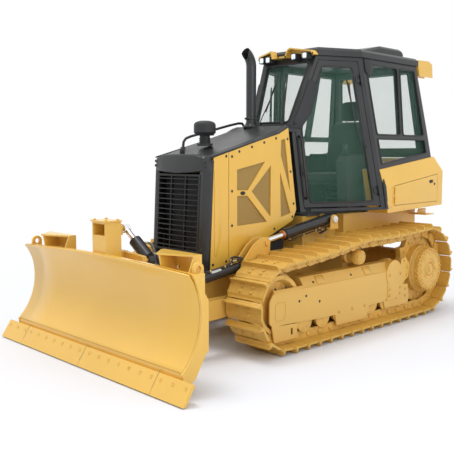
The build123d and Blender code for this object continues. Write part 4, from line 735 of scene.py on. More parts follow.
frameTrim = {
    "face": 0.8515,
    "head": 0.0115,
    # along y at one height
    "guardBolts": ((0.100, 0.500), (0.860, 1.200)),
    "guardHeight": 0.233,
    "band": 0.8575,
    "bandBolts": ((0.908, 1.092), (0.270, 0.330, 0.470)),
    "rearBolts": ((1.165, 0.590), (1.225, 0.520), (1.215, 0.440), (1.200, 0.300)),
    "plugs": ((-0.460, 0.412), (-0.370, 0.445), (-0.185, 0.372)),
    # the long facet leans in as it rises
    "facet": (0.8285, 0.5480),
    "facetWay": (0.808, 0.590),
    "facetPlugs": (-0.740, -0.610, -0.250, 0.300),
    "footWeld": (-0.42, 0.878, 0.5155),
    "lids": (-0.150, 0.560),
    "lidFoot": (0.8445, 0.5265),
    "lidHalf": 0.055,
    "lidRise": (-0.046, 0.063),
    "lidThick": (0.0045, 0.0033),
    "carrier": (0.8470, 0.430, 0.7017),
    "carrierCap": ((0, 0.043), (0.005, 0.043), (0.009, 0.034), (0.010, 0.012), (0.013, 0.011), (0.013, 0.0)),
    "carrierScrews": (0.852, 0.027, 0.6 / math.pi),
}


def makeFrameTrim():
    trim = frameTrim
    for side, label in sides:
        face, band, height = side * trim["face"], side * trim["band"], trim["guardHeight"]
        points = []
        for start, end in trim["guardBolts"]:
            points += spaced((face, start, height), (face, end, height), 3)
        points += [(band, y, z) for y in trim["bandBolts"][0] for z in trim["bandBolts"][1]]
        points += [(face, y, z) for y, z in trim["rearBolts"]]
        (x, z), (wayX, wayZ) = trim["facet"], trim["facetWay"]
        plugs = [facing((face, along, rise), (side, 0, 0)) for along, rise in trim["plugs"]]
        plugs += [facing((side * x, along, z), (side * wayX, 0, wayZ)) for along in trim["facetPlugs"]]
        repeatShape(label + "FramePlugs", domeHead(0.0120, 0.0035), plugs, "moulded", "chassis")
        bolts = [facing(p, (side, 0, 0)) for p in points]
        head = hexHead(trim["head"], 0.011)
        repeatShape(label + "FrameBolts", head, bolts, "deck", "chassis", twist=boltTwist)
        lids = Shape()
        front, rear, foot = trim["footWeld"]
        lids.tube([(face, front, foot), (face, rear, foot)], 0.0045, 6)
        half, (riseX, riseZ), (thickX, thickZ) = trim["lidHalf"], trim["lidRise"], trim["lidThick"]
        for y in trim["lids"]:
            x, z = trim["lidFoot"]
            corners = ((0, -half), (0, half), (1, half), (1, -half))
            lids.slab([(side * (x + up * riseX), y + along, z + up * riseZ) for up, along in corners],
                      (side * thickX, 0, thickZ))
        keepShape(label + "FrameLids", lids, "deck", "chassis", edge=0.0015, steps=1)
        x, y, z = trim["carrier"]
        cap = Shape().turned((side * x, y, z), (side, 0, 0), trim["carrierCap"], 28)
        screwX, radius, shift = trim["carrierScrews"]
        for point in circleAt(side * screwX, y, z, radius, 3, shift):
            cap.stud(point, (side, 0, 0), 0.0065, 0.005, 6)
        keepShape(label + "CarrierCap", cap, "cast", "chassis")
    print("track frames trimmed")


makeFrameTrim()

hood = {
    "side": 0.3663,
    "topEdge": ((-1.040, 1.633), (-0.193, 1.850), (-0.071, 1.9075), (0.078, 1.909)),
    "rearEdge": ((-0.366, 1.905), (-0.307, 1.935), (0.307, 1.935), (0.366, 1.905)),
    "rearEdgeY": 0.075,
    # start, end, count
    "boltLines": (((-1.015, 1.603), (-0.235, 1.803), 6), ((-1.015, 0.730), (-0.860, 0.744), 2),
                  ((-0.790, 0.752), (-0.790, 1.640), 4), ((-0.500, 0.885), (0.000, 1.078), 3),
                  ((0.015, 1.200), (-0.078, 1.800), 3)),
    "noseBolts": ((-0.327, 0.327), (0.72, 0.86, 1.56, 1.60)),
    "noseLean": (0.0, -0.99863, 0.05234),
    "head": 0.0120,
    "rail": ((-0.735, 1.722), (-0.728, 1.775), (-0.700, 1.806), (-0.640, 1.826), (-0.130, 1.943),
             (-0.010, 1.966), (0.040, 1.966), (0.062, 1.945), (0.064, 1.914)),
    "railX": -0.343,
    "latch": (-0.660, 1.3225),
    # how far out it starts, half length, half height, thickness
    "latchSteps": ((0.0, 0.030, 0.017, 0.004), (0.004, 0.0165, 0.0102, 0.005)),
    "drop": {"front": -0.996, "rear": -0.968, "swell": 0.052, "foot": 0.80, "tall": 0.72, "out": 0.005},
}

nose = {
    "wide": 0.366,
    "front": 0.322,
    "opening": 0.272,
    "chamfer": 0.046,
    "depth": 0.070,
    "low": 0.676,
    "shoulder": 1.600,
    "top": (1.648, 0.318),
    "sill": 0.760,
    "brow": 1.520,
    "browEnd": 1.632,
    "crown": 1.664,
    "prow": 0.034,
    # x, share of the prow, share of the crown
    "stations": ((-0.318, 0.0, 0.0), (-0.200, 0.55, 0.9), (0.0, 1.0, 1.0), (0.200, 0.55, 0.9),
                 (0.318, 0.0, 0.0)),
    "lugEye": (-1.036, 1.692),
    "lugRadius": 0.026,
    "lugHalf": 0.006,
    "lugFeet": (1.640, 1.652),
}


def noseFace(z):
    return -1.118 + (z - nose["low"]) * math.tan(math.radians(3.0))


def makeNoseCasing():
    # chamfered posts beside the grille, and the sill under it
    casing = Shape()
    wide, opening, chamfer, depth = nose["wide"], nose["opening"], nose["chamfer"], nose["depth"]
    levels = ((nose["low"], wide), (nose["brow"] - 0.03, wide), (nose["shoulder"], wide - 0.002),
              nose["top"])
    for side in (-1, 1):
        rings = []
        for z, half in levels:
            y = noseFace(z)
            front = nose["front"] - (wide - half)
            outline = ((opening, 0), (front, 0), (half, chamfer), (half, depth), (opening, depth))
            rings.append([(side * x, y + back, z) for x, back in outline])
        casing.skin(rings)
    rings = []
    half = opening + 0.004
    for z, back in ((nose["low"], depth), (nose["sill"] - 0.012, depth), (nose["sill"], depth - 0.012)):
        front = noseFace(z) + 0.0005
        rear = noseFace(z) + back
        rings.append([(-half, front, z), (half, front, z), (half, rear, z), (-half, rear, z)])
    casing.skin(rings)
    keepShape("noseCasing", casing, "black", "chassis", replaced=("nose_casing",), edge=0.004)


def makeNoseBrow():
    # brow over the grille, folded to a prow
    prow = nose["prow"]
    rings = []
    for x, out, lift in nose["stations"]:
        low = nose["brow"] - 0.022 * out
        high = nose["browEnd"] + (nose["crown"] - nose["browEnd"]) * lift
        yLow, yHigh = noseFace(low), noseFace(high)
        rings.append([(x, yLow + 0.040, low + 0.004), (x, yLow - 0.0015 - prow * out, low),
                      (x, yHigh - 0.0015 - prow * 0.55 * out, high - 0.012),
                      (x, yHigh + 0.010 - prow * 0.4 * out, high), (x, yHigh + nose["depth"], high - 0.004)])
    keepShape("noseBrow", Shape().skin(rings), "black", "chassis", edge=0.004, sharpAngle=12.0)


def makeNoseLug():
    y, z = nose["lugEye"]
    reach, half, (frontFoot, rearFoot) = nose["lugRadius"], nose["lugHalf"], nose["lugFeet"]
    arch = [(y - reach, frontFoot), (y - reach, z - 0.002)]
    arch += [(y - reach * math.cos(a), z + reach * math.sin(a)) for a in turnAngles(16)[1:8]]
    arch += [(y + reach, z - 0.002), (y + reach, rearFoot)]
    lug = Shape().slab([(-half, along, rise) for along, rise in arch], (2 * half, 0, 0))
    lug.stud((-half - 0.0005, y, z), (1, 0, 0), 0.010, 2 * half + 0.001, 16)
    keepShape("noseLug", lug, "black", "chassis", edge=0.002)


def makeHoodSides():
    for side, label in sides:
        y, z = hood["latch"]
        latch = Shape()
        for out, across, rise, thick in hood["latchSteps"]:
            x = side * (hood["side"] + out)
            latch.slab([(x, y + across * math.cos(a), z + rise * math.sin(a)) for a in turnAngles(28)],
                       (side * thick, 0, 0))
        keepShape(label + "HoodLatch", latch, "moulded", "chassis", edge=0.0012)
        # pressed teardrop in the strip beside the nose
        drop = hood["drop"]
        shares = [i / 14 for i in range(15)]
        outline = [(drop["rear"] + drop["swell"] * math.sin(math.pi * t ** 0.8) ** 1.5, t) for t in shares]
        outline += [(drop["front"], t) for t in reversed(shares)]
        x = hood["side"] - 0.001
        pressed = Shape().slab([(side * x, along, drop["foot"] + drop["tall"] * t) for along, t in outline],
                               (side * (drop["out"] + 0.001), 0, 0))
        keepShape(label + "HoodDrop", pressed, "yellow", "chassis", edge=0.004)


def makeHoodTrim():
    points = []
    for (y0, z0), (y1, z1), count in hood["boltLines"]:
        points += spaced((0, y0, z0), (0, y1, z1), count)
    spots = [outward(side, hood["side"], p.y, p.z) for side in (1, -1) for p in points]
    across, levels = hood["noseBolts"]
    spots += [facing((x, noseFace(z) - 0.0004, z), hood["noseLean"]) for x in across for z in levels]
    repeatShape("hoodBolts", domeHead(hood["head"], 0.005), spots, "black", "chassis")
    strips = Shape()
    for side in (-1, 1):
        strips.tube([(side * (hood["side"] - 0.003), y, z) for y, z in hood["topEdge"]], 0.0065, 8)
    strips.tube([(x, hood["rearEdgeY"], z) for x, z in hood["rearEdge"]], 0.007, 8)
    keepShape("hoodTrimStrips", strips, "moulded", "chassis")
    rail = Shape().tube([(hood["railX"], y, z) for y, z in hood["rail"]], 0.0125, 12)
    for y, z in (hood["rail"][0], hood["rail"][-1]):
        rail.plug((hood["railX"], y, z - 0.006), upward, 0.024, 0.014, 0.015, 16, 0.004)
    keepShape("hoodRail", rail, "black", "chassis")
    makeNoseCasing()
    makeNoseBrow()
    makeNoseLug()
    makeHoodSides()
    print("hood trimmed")


makeHoodTrim()

stacks = {
    "exhaust": (-0.120, -0.060, 1.930),
    "collar": ((-0.012, 0.078), (0.000, 0.078), (0.010, 0.062), (0.033, 0.0515)),
    "bandRise": 0.060,
    "band": ((0, 0.0495), (0.003, 0.0525), (0.019, 0.0525), (0.022, 0.0495)),
    "cleaner": (0.0, -0.772, 1.8900),
    "cleanerRadius": 0.098,
    "lips": (-0.040, 0.016),
    # height, step in from the rim
    "lip": ((0, 0.0045), (0.003, 0.0005), (0.007, 0.0005), (0.010, 0.0045)),
    "crown": ((0.000, 0.001), (0.030, 0.001), (0.042, 0.006), (0.053, 0.018), (0.060, 0.036),
              (0.0645, 0.060), (0.0655, 0.098)),
    "vane": (0.0015, 0.020, 0.012),
    "vanes": 26,
    "vaneTurn": 52.0,
}


def makeStackTrim():
    x, y, z = stacks["exhaust"]
    collar = Shape().turned((x, y, z), upward, stacks["collar"], 32)
    band = z + stacks["bandRise"]
    collar.turned((x, y, band), upward, stacks["band"], 32)
    collar.block((x - 0.012, y - 0.076, band + 0.002), (x + 0.012, y - 0.050, band + 0.020))
    collar.tube([(x - 0.024, y - 0.066, band + 0.011), (x + 0.024, y - 0.066, band + 0.011)], 0.004, 6)
    keepShape("exhaustClamps", collar, "black", "chassis")
    x, y, z = stacks["cleaner"]
    radius = stacks["cleanerRadius"]
    dome = Shape()
    for low in stacks["lips"]:
        dome.turned((x, y, z + low), upward, [(rise, radius - inset) for rise, inset in stacks["lip"]], 40)
    dome.turned((x, y, z), upward, [(rise, radius - inset) for rise, inset in stacks["crown"]], 48)
    keepShape("precleanerTrim", dome, "moulded", "chassis")
    half = Vector(stacks["vane"])
    vane = Shape().block(-half, half)
    spots = []
    for angle in turnAngles(stacks["vanes"]):
        out = Vector((math.cos(angle), math.sin(angle), 0))
        place = Matrix((out, Vector((-out.y, out.x, 0)), Vector(upward))).transposed().to_4x4()
        place.translation = Vector((x, y, z - 0.053)) + out * (radius - 0.034)
        spots.append(place @ Matrix.Rotation(math.radians(stacks["vaneTurn"]), 4, "Z"))
    repeatShape("precleanerVanes", vane, spots, "moulded", "chassis")
    print("stacks trimmed")


makeStackTrim()

cab = {
    "gasket": 0.0085,
    "doorWay": (1, -0.45, 0.08),
    "quarterPanes": (((0.953, 1.854), (1.376, 1.854), (1.426, 2.545), (0.869, 2.545)),
                     ((1.422, 1.854), (1.8296, 1.854), (1.752, 2.545), (1.472, 2.545)),
                     ((0.989, 1.562), (1.850, 1.672), (1.834, 1.812), (0.9585, 1.812))),
    "doorPane": ((0.227, 1.198), (0.179, 1.910), (0.411, 2.498), (0.705, 2.498), (0.863, 1.198)),
    "windscreen": ((-0.215, 1.965), (0.215, 1.965), (0.275, 2.540), (-0.275, 2.540)),
    "screenFoot": (0.082, 1.910),
    "screenLean": 0.3957,
    "rearPane": ((-0.520, 1.931, 1.720), (0.520, 1.931, 1.720), (0.5036, 1.906, 1.910),
                 (0.450, 1.8115, 2.530), (-0.450, 1.8115, 2.530), (-0.5036, 1.906, 1.910)),
    "bulge": ((0.100, 1.960), (0.128, 1.918), (0.165, 1.893), (0.235, 1.985), (0.290, 2.085), (0.340, 2.240),
              (0.348, 2.300), (0.318, 2.350), (0.272, 2.372), (0.205, 2.190)),
    "wiper": ((0.655, 2.352), (0.662, 2.240), (0.670, 2.146), (0.682, 2.045), (0.697, 1.954), (0.716, 1.870),
              (0.734, 1.816), (0.797, 1.747)),
    # y, z, distance out from the door
    "blade": ((0.640, 2.370, 0.010), (0.705, 1.980, 0.010)),
    "bladeStem": ((0.672, 2.165, 0.010), (0.672, 2.165, 0.022)),
    "handle": ((0.187, 1.235, 0.0), (0.185, 1.250, 0.040), (0.181, 1.285, 0.052), (0.153, 1.780, 0.052),
               (0.151, 1.815, 0.040), (0.150, 1.830, 0.0)),
    "lockPlate": ((0.205, 1.450), (0.205, 1.560), (0.150, 1.560), (0.150, 1.450)),
    "lock": (0.178, 1.478, 0.008),
    "covers": (((0.835, 2.596), (0.968, 2.596), (0.955, 2.446), (0.895, 2.428), (0.842, 2.470)),
               ((0.968, 1.400), (0.988, 1.420), (1.018, 1.338), (1.018, 1.196), (0.985, 1.128),
                (0.978, 1.128))),
    # foot's x, tip's x
    "frontWipers": ((-0.150, -0.060), (0.150, 0.060)),
    "wiperHeights": (1.945, 2.310),
}
doorNormal = Vector(cab["doorWay"]).normalized()


def doorPoint(y, z, out=0.0, side=1):
    # a point on the door's outer face, or out from it
    point = Vector((0.38675 + 0.45 * y - 0.08 * z, y, z)) + doorNormal * out
    return Vector((side * point.x, point.y, point.z))


def quarterPoint(y, z, out=0.0, side=1):
    return Vector((side * (0.8895 - 0.1348 * z + out), y, z))


def screenPoint(x, z, out=0.0):
    y, foot = cab["screenFoot"]
    return Vector((x, y + (z - foot) * cab["screenLean"] - out, z))


def makeWindowSeals():
    seals = Shape()
    for side, _ in sides:
        for pane in cab["quarterPanes"]:
            outline = [quarterPoint(y, z, 0.0005, side) for y, z in pane]
            seals.tube(rounded(outline, 0.08), cab["gasket"], 8, closed=True)
    windscreen = [screenPoint(x, z, 0.001) for x, z in cab["windscreen"]]
    for pane, share in ((windscreen, 0.08), (cab["rearPane"], 0.06)):
        seals.tube(rounded(pane, share), cab["gasket"], 8, closed=True)
    keepShape("windowSeals", seals, "hose", "chassis")


def makeDoorTrim(side, label):
    door = "cab_door_" + label
    way = Vector((side * doorNormal.x, doorNormal.y, doorNormal.z))
    pane = [doorPoint(y, z, 0.0005, side) for y, z in cab["doorPane"]]
    seal = Shape().tube(rounded(pane, 0.06), cab["gasket"], 8, closed=True)
    keepShape(label + "DoorSeal", seal, "hose", door)
    outer = rounded([doorPoint(y, z, 0.001, side) for y, z in cab["bulge"]], 0.3)
    middle = sum(outer, Vector()) / len(outer)
    bulge = Shape().skin([[p.lerp(middle, share) + way * out for p in outer]
                          for share, out in ((0.0, 0.0), (0.0, 0.010), (0.12, 0.016))])
    keepShape(label + "DoorPost", bulge, "moulded", door, edge=0.002)
    wiper = Shape().tube([doorPoint(y, z, 0.020, side) for y, z in cab["wiper"]], 0.0055, 8)
    wiper.tube([doorPoint(*place, side) for place in cab["blade"]], 0.0075, 6)
    wiper.tube([doorPoint(*place, side) for place in cab["bladeStem"]], 0.005, 6)
    wiper.plug(doorPoint(*cab["wiper"][-1], -0.002, side), way, 0.022, 0.028, 0.014, 20, 0.008)
    keepShape(label + "DoorWiper", wiper, "moulded", door)
    handle = Shape().tube([doorPoint(*place, side) for place in cab["handle"]], 0.011, 12)
    handle.slab(rounded([doorPoint(y, z, 0.0, side) for y, z in cab["lockPlate"]], 0.3), way * 0.010)
    handle.plug(doorPoint(*cab["lock"], side), way, 0.012, 0.008, 0.008, 16)
    keepShape(label + "DoorHandle", handle, "black", door, edge=0.0012, steps=1)
    covers = Shape()
    for outline in cab["covers"]:
        covers.slab([quarterPoint(y, z, -0.002, side) for y, z in outline], (side * 0.014, 0, 0))
    keepShape(label + "PostCovers", covers, "moulded", "chassis", edge=0.004)


def makeFrontWipers():
    wipers = Shape()
    low, high = cab["wiperHeights"]
    for x0, x1 in cab["frontWipers"]:
        foot, tip = screenPoint(x0, low, 0.016), screenPoint(x1, high, 0.020)
        wipers.tube([foot, foot.lerp(tip, 0.55), tip], 0.005, 8)
        rubber = [foot.lerp(tip, 0.35) + Vector((0.012, 0.006, 0)), tip + Vector((0.012, 0.030, 0.12))]
        wipers.tube(rubber, 0.0065, 6)
        wipers.plug(foot + Vector((0, 0.014, 0)), (0, -1, 0.39), 0.018, 0.022, 0.012, 16, 0.006)
    keepShape("frontWipers", wipers, "moulded", "chassis")


makeWindowSeals()
for side, label in sides:
    makeDoorTrim(side, label)
makeFrontWipers()
print("cab trimmed")

roof = {
    # x of each lamp, y and z of its face, which way it looks, half its width
    "lamps": (((-0.287, -0.203, 0.134, 0.273), 0.262, 2.5963, -1, 0.026),
              ((-0.502, 0.502), 2.010, 2.597, 1, 0.034)),
    # share drawn in to the middle, distance out
    "lens": ((0.0, 0.0), (0.0, 0.002), (0.35, 0.0045), (0.80, 0.0055)),
    "face": 2.6783,
    "bolts": ((0.475, 0.90), (0.475, 1.20), (0.475, 1.50), (0.475, 1.74), (0.33, 0.50), (0.20, 0.42)),
    "browFace": 0.2696,
    "browBolts": ((-0.325, 2.611), (0.020, 2.608), (0.364, 2.612), (-0.070, 2.607)),
    "slat": (0.135, 0.004, 0.0015),
    "slats": (0.24, 1.7175, 2.6860),
    "slatStep": 0.0072,
    "slatCount": 6,
    "seam": (0.4305, 2.6835, 0.900, 1.700),
}


def makeRoofTrim():
    lenses, bezels = Shape(), Shape()
    for places, y, z, way, half in roof["lamps"]:
        for x in places:
            middle = Vector((x, y, z))
            corners = ((-half, -half), (half, -half), (half, half), (-half, half))
            outline = rounded([middle + Vector((across, 0, rise)) for across, rise in corners], 0.25)
            lenses.skin([[p.lerp(middle, share) + Vector((0, way * out, 0)) for p in outline]
                         for share, out in roof["lens"]])
            bezels.tube(outline, 0.0035, 8, closed=True)
    keepShape("lampLenses", lenses, "lens", "chassis")
    keepShape("lampBezels", bezels, "moulded", "chassis")
    spots = [facing((side * x, y, roof["face"]), upward, (0, 1, 0)) for side in (1, -1)
             for x, y in roof["bolts"]]
    spots += [facing((x, roof["browFace"], z), (0, -1, 0)) for x, z in roof["browBolts"]]
    repeatShape("roofBolts", domeHead(0.009, 0.006), spots, "black", "chassis")
    half = Vector(roof["slat"])
    x, y, z = roof["slats"]
    places = [Matrix.Translation((side * x, y, z + roof["slatStep"] * i)) for side in (-1, 1)
              for i in range(roof["slatCount"])]
    repeatShape("roofUnitSlats", Shape().block(-half, half), places, "moulded", "chassis")
    x, z, front, rear = roof["seam"]
    seams = Shape()
    for side in (1, -1):
        seams.tube([(side * x, front, z), (side * x, rear, z)], 0.0035, 6)
    keepShape("roofUnitSeams", seams, "moulded", "chassis")
    print("roof trimmed")


makeRoofTrim()

cylinders = {
    # gland and tail are distances from the pin; face is 1 with ports above, -1 below; each hose has points
    # about its port (along, over the skin, out), then points about the sink, a place by the pin (out, y, z)
    "lift": {
        "pin": (0.480, 0.393, 1.040), "eye": (0.480, -0.520, 0.894), "radius": 0.050, "gland": 0.660,
        "tail": 0.150, "face": -1, "sink": (-0.075, 0.120, -0.075), "hose": 0.0105,
        "hoses": ((((-0.010, 0.024, 0.026), (-0.075, 0.024, 0.026)),
                   ((0.081, -0.108315, -0.010072), (0, 0.045, 0.035), (-0.030, 0.030, -0.020))),
                  (((0, 0.030, 0), (0, 0.062, 0), (-0.060, 0.055, 0), (-0.225, 0.020, 0)),
                   ((-0.010, 0.060, 0.010), (-0.040, 0.010, -0.020)))),
    },
    "angle": {
        "pin": (0.480, -0.790, 0.712), "eye": (0.480, -1.690, 0.590), "radius": 0.044, "gland": 0.610,
        "tail": 0.120, "face": 1, "sink": (-0.010, 0.060, -0.150), "hose": 0.0095,
        "hoses": ((((-0.010, 0.024, 0.026), (-0.060, 0.024, 0.026), (-0.085, 0.034, 0.026)),
                   ((0.026, 0.025, 0.180), (0.012, 0.050, 0.060), (0, 0, 0))),
                  (((0, 0.030, 0), (0, 0.052, 0), (-0.070, 0.050, 0)),
                   ((-0.002, 0.040, 0.180), (-0.020, 0.055, 0.050), (-0.016, 0.010, 0)))),
    },
    "tilt": {
        "pin": (0.262, -1.600, 0.825), "eye": (-0.060, -1.600, 1.050), "radius": 0.052, "gland": 0.235,
        "scraper": ((0, 0.042), (0.004, 0.044), (0.010, 0.035), (0.010, 0.0255)),
        "port": (0.017, 0.018, 0.014), "rise": (0.050, 0.090), "bend": (0.030, 0.105, -0.075), "hose": 0.0105,
        # distance along, how far the hose's foot is set over
        "ports": ((0.062, 0.020), (0.195, 0.060)),
        "sink": ((0.238, -1.500, 0.640, 0.4), (0.200, -1.490, 0.540, 0.4), (0.130, -1.500, 0.480, 0.5)),
    },
    # distance past the gland, share of the barrel's radius
    "scraper": ((0, 0.82), (0.004, 0.86), (0.010, 0.70), (0.010, 0.56)),
    # radius, height, top radius
    "port": (0.016, 0.018, 0.014),
    "clip": (0.010, 0.018, 0.008),
    "clips": (0.35, 0.62),
    "glandPort": 0.075,
    "lineOut": 0.026,
    "lineRadius": 0.0065,
    # the hard line: where each point is taken from, then along, over the skin and out
    "line": (("front", 0, 0.010, 0), ("front", 0, 0.026, 0), ("front", -0.030, 0.026, 0.012),
             ("front", -0.090, 0.012, 0.024), ("middle", 0, 0.008, 0.026), ("tail", 0.060, 0.010, 0.026),
             ("tail", 0, 0.024, 0.026)),
    "cap": ((-0.004, 0.033), (0.007, 0.033), (0.011, 0.029), (0.012, 0.0)),
    "capNut": ((0, 0.012), (0.007, 0.011), (0.009, 0.006)),
    "capX": (0.5685, 0.5800),
    "label": (0.26, 0.37),
    "labelTurns": (40, 50, 60, 70, 80),
}


def bent(points, count=8):
    # a smooth line through the given points
    line = [Vector(p) for p in points]
    curve = bpy.data.curves.new("route", "CURVE")
    curve.dimensions = "3D"
    curve.resolution_u = count
    spline = curve.splines.new("NURBS")
    spline.points.add(len(line) - 1)
    for point, place in zip(spline.points, line):
        point.co = (*place, 1.0)
    spline.order_u = 3
    spline.use_endpoint_u = True
    holder = bpy.data.objects.new("route", curve)
    mesh = bpy.data.meshes.new_from_object(holder)
    smooth = [v.co.copy() for v in mesh.vertices]
    bpy.data.objects.remove(holder)
    bpy.data.meshes.remove(mesh)
    return smooth


def fitting(shape, point, way, radius=0.011, nut=0.012, collar=0.026):
    # hose end: hexagon and crimped collar
    shape.turned(point, way, [(-0.002, radius * 1.15), (nut, radius * 1.15)], 6)
    shape.stud(Vector(point) + Vector(way).normalized() * nut, way, radius * 0.95, collar)


def pipeCylinder(kind, side, label):
    # the scraper, ports, hard line and hoses of one long cylinder
    data = cylinders[kind]
    radius, gland, tail, across = data["radius"], data["gland"], data["tail"], cylinders["lineOut"]
    (x, y, z), eye = data["pin"], data["eye"]
    pin = Vector((side * x, y, z))
    run = (Vector((side * eye[0], eye[1], eye[2])) - pin).normalized()
    out = Vector((side, 0, 0))
    up = run.cross(Vector((1, 0, 0))).normalized() * data["face"]

    def at(along, rise, reach=0.0):
        # a place along the barrel, over its skin and out to the side
        return pin + run * along + up * (radius + rise) + out * reach

    body = f"{kind}_barrel_{label}"
    wiped = [(reach, radius * share) for reach, share in cylinders["scraper"]]
    keepShape(f"{kind}Scraper" + label, Shape().turned(pin + run * gland, run, wiped, 28), "copper", body)
    ports, lines, hoses = Shape(), Shape(), Shape()
    starts = {"front": gland - cylinders["glandPort"], "middle": gland * 0.5, "tail": tail}
    for name in ("front", "tail"):
        ports.plug(at(starts[name], -0.006), up, *cylinders["port"])
    # hard line along the barrel from the gland's port to the tail
    route = [at(starts[name] + along, rise, reach) for name, along, rise, reach in cylinders["line"]]
    lines.tube(bent(route), cylinders["lineRadius"], 10)
    for share in cylinders["clips"]:
        ports.plug(at(gland * share, -0.002, across), up, *cylinders["clip"])
    fitting(ports, at(tail, 0.024, across), -run)
    fitting(ports, at(tail, 0.008), up)
    sink = pin + Vector((side * data["sink"][0], *data["sink"][1:]))
    for near, far in data["hoses"]:
        route = [at(tail + along, rise, reach) for along, rise, reach in near]
        route += [sink + Vector((side * reach, back, rise)) for reach, back, rise in far]
        hoses.tube(bent(route), data["hose"], 12)
    if kind == "lift":
        # round cap over the cylinder's cross pin
        capX, nutX = cylinders["capX"]
        cap = Shape().turned((side * capX, y, z), out, cylinders["cap"], 28)
        cap.turned((side * nutX, y, z), out, cylinders["capNut"], 6)
        keepShape("liftPinCap" + label, cap, "label", body)
    else:
        turns = [math.radians(turn) for turn in cylinders["labelTurns"]]
        rim = [(out * math.cos(a) + up * math.sin(a)) * (radius + 0.0008) for a in turns]
        first, last = [pin + run * along for along in cylinders["label"]]
        outline = [first + p for p in rim] + [last + p for p in rim[::-1]]
        bareLabel = Shape().slab(outline, (out * 0.5 + up) * 0.0012)
        keepShape("angleLabel" + label, bareLabel, "label", body)
    keepShape(f"{kind}Ports" + label, ports, "zinc", body)
    keepShape(f"{kind}Line" + label, lines, "barrel", body)
    keepShape(f"{kind}Hoses" + label, hoses, "hose", body)


def pipeTilt():
    data = cylinders["tilt"]
    pin = Vector(data["pin"])
    run = (Vector(data["eye"]) - pin).normalized()
    scraper = Shape().turned(pin + run * data["gland"], run, data["scraper"], 28)
    keepShape("tiltScraper", scraper, "copper", "tilt_barrel")
    ports, hoses = Shape(), Shape()
    back = Vector((0, 1, 0))
    for along, over in data["ports"]:
        port = pin + run * along + back * (data["radius"] - 0.008)
        ports.plug(port, back, *data["port"])
        fitting(ports, port + back * 0.016, back)
        route = [port + back * rise for rise in data["rise"]] + [port + Vector(data["bend"])]
        route += [(x - over * share, y, z) for x, y, z, share in data["sink"]]
        hoses.tube(bent(route), data["hose"], 12)
    keepShape("tiltPorts", ports, "zinc", "tilt_barrel")
    keepShape("tiltHoses", hoses, "sleeve", "tilt_barrel")


for side, label in sides:
    for kind in ("lift", "angle"):
        pipeCylinder(kind, side, label)
pipeTilt()
print("cylinders piped")

blade = {
    "edgeFace": ((-2.0548, 0.1124), (0.0, -0.8357, 0.5492)),
    # bolts to a side, from x, to x
    "edgeBolts": ((3, 0.960, 1.227), (7, 0.070, 0.855)),
    "boltHead": 0.0155,
    "nutDepth": 0.048,
    "half": 1.1315,
    "seams": (-0.921, -0.010, 0.912),
    "seam": (-0.060, 0.072, 0.0035),
    "liner": (0.184, 0.8830),
    "linerThick": 0.0095,
    "roll": ((-2.371, 0.572), 0.532),
    "crown": 0.034,
    # x of each, then its reach along x, y, z and radius
    "bracketWelds": (0.640, -0.988),
    "bracketWeld": ((0.030, 0.399), -1.7600, 0.950, 0.0045),
    "towerWeld": ((0.094, -1.834, 0.700), (0.094, -1.836, 0.850)),
    "towerWeldRadius": 0.006,
    "towerBolts": ((-0.080, 0.080), (-1.885, -1.775), 1.1402),
    "anglePin": (0.480, -1.690, 0.7075),
    "pinCap": ((0, 0.024), (0.004, 0.030), (0.008, 0.028), (0.009, 0.0)),
    "fin": 0.5284,
    "finPlate": ((-0.800, 0.640), (-0.760, 0.640), (-0.690, 0.735), (-0.728, 0.752)),
    "finBolts": ((-0.560, 0.800), (-0.480, 0.800), (-0.620, 0.560), (-0.760, 0.560)),
}


def makeEdgeTrim():
    (y, z), normal = blade["edgeFace"]
    spots = []
    for side in (1, -1):
        for count, near, far in blade["edgeBolts"]:
            spots += [facing(p, normal) for p in spaced((side * near, y, z), (side * far, y, z), count)]
    size = blade["boltHead"]
    domed = [(-0.001, size), (0.0012, size), (0.0024, size * 0.80), (0.0008, size * 0.62),
             (0.0008, size * 0.2)]
    repeatShape("plowBolts", Shape().turned(origin, upward, domed, 16), spots, "cast", "blade")
    out = Vector(normal)
    down = Vector((0, -out.z, out.y))
    middle = Vector((0, y, z)) - out * 0.0006
    high, low, half = blade["seam"]
    seams = Shape()
    for x in blade["seams"]:
        corners = ((high, -half), (high, half), (low, half), (low, -half))
        seams.slab([middle + down * reach + Vector((x + across, 0, 0)) for reach, across in corners],
                   out * 0.0014)
    keepShape("edgeSeams", seams, "worn", "blade")
    nuts = [facing(s.translation - out * blade["nutDepth"], -out) for s in spots]
    repeatShape("plowNuts", hexHead(0.0135, 0.016), nuts, "worn", "blade", twist=boltTwist)


def makeBladeLiner():
    # rolled liner over the board's face, lower at its top corners
    half, (low, high), thick = blade["half"], blade["liner"], blade["linerThick"]
    (centerY, centerZ), radius = blade["roll"]
    levels = [low + (high - low) * i / 32 for i in range(33)]

    def rolled(share, z):
        reach = math.sqrt(radius ** 2 - (z - centerZ) ** 2)
        return centerY + reach * share, centerZ + (z - centerZ) * share

    line = [rolled((radius - thick) / radius, z) for z in levels]
    line += [rolled((radius + 0.002) / radius, z) for z in levels[::-1]]
    rings = []
    for share in (-1, -0.66, -0.33, 0.0, 0.33, 0.66, 1):
        x = half * share
        drop = blade["crown"] * (x / 1.163) ** 2
        rings.append([(x, y, z - drop * max(0.0, (z - 0.6) / 0.284)) for y, z in line])
    keepShape("bladeLiner", Shape().skin(rings), "yellow", "blade", edge=0.0015, steps=1)


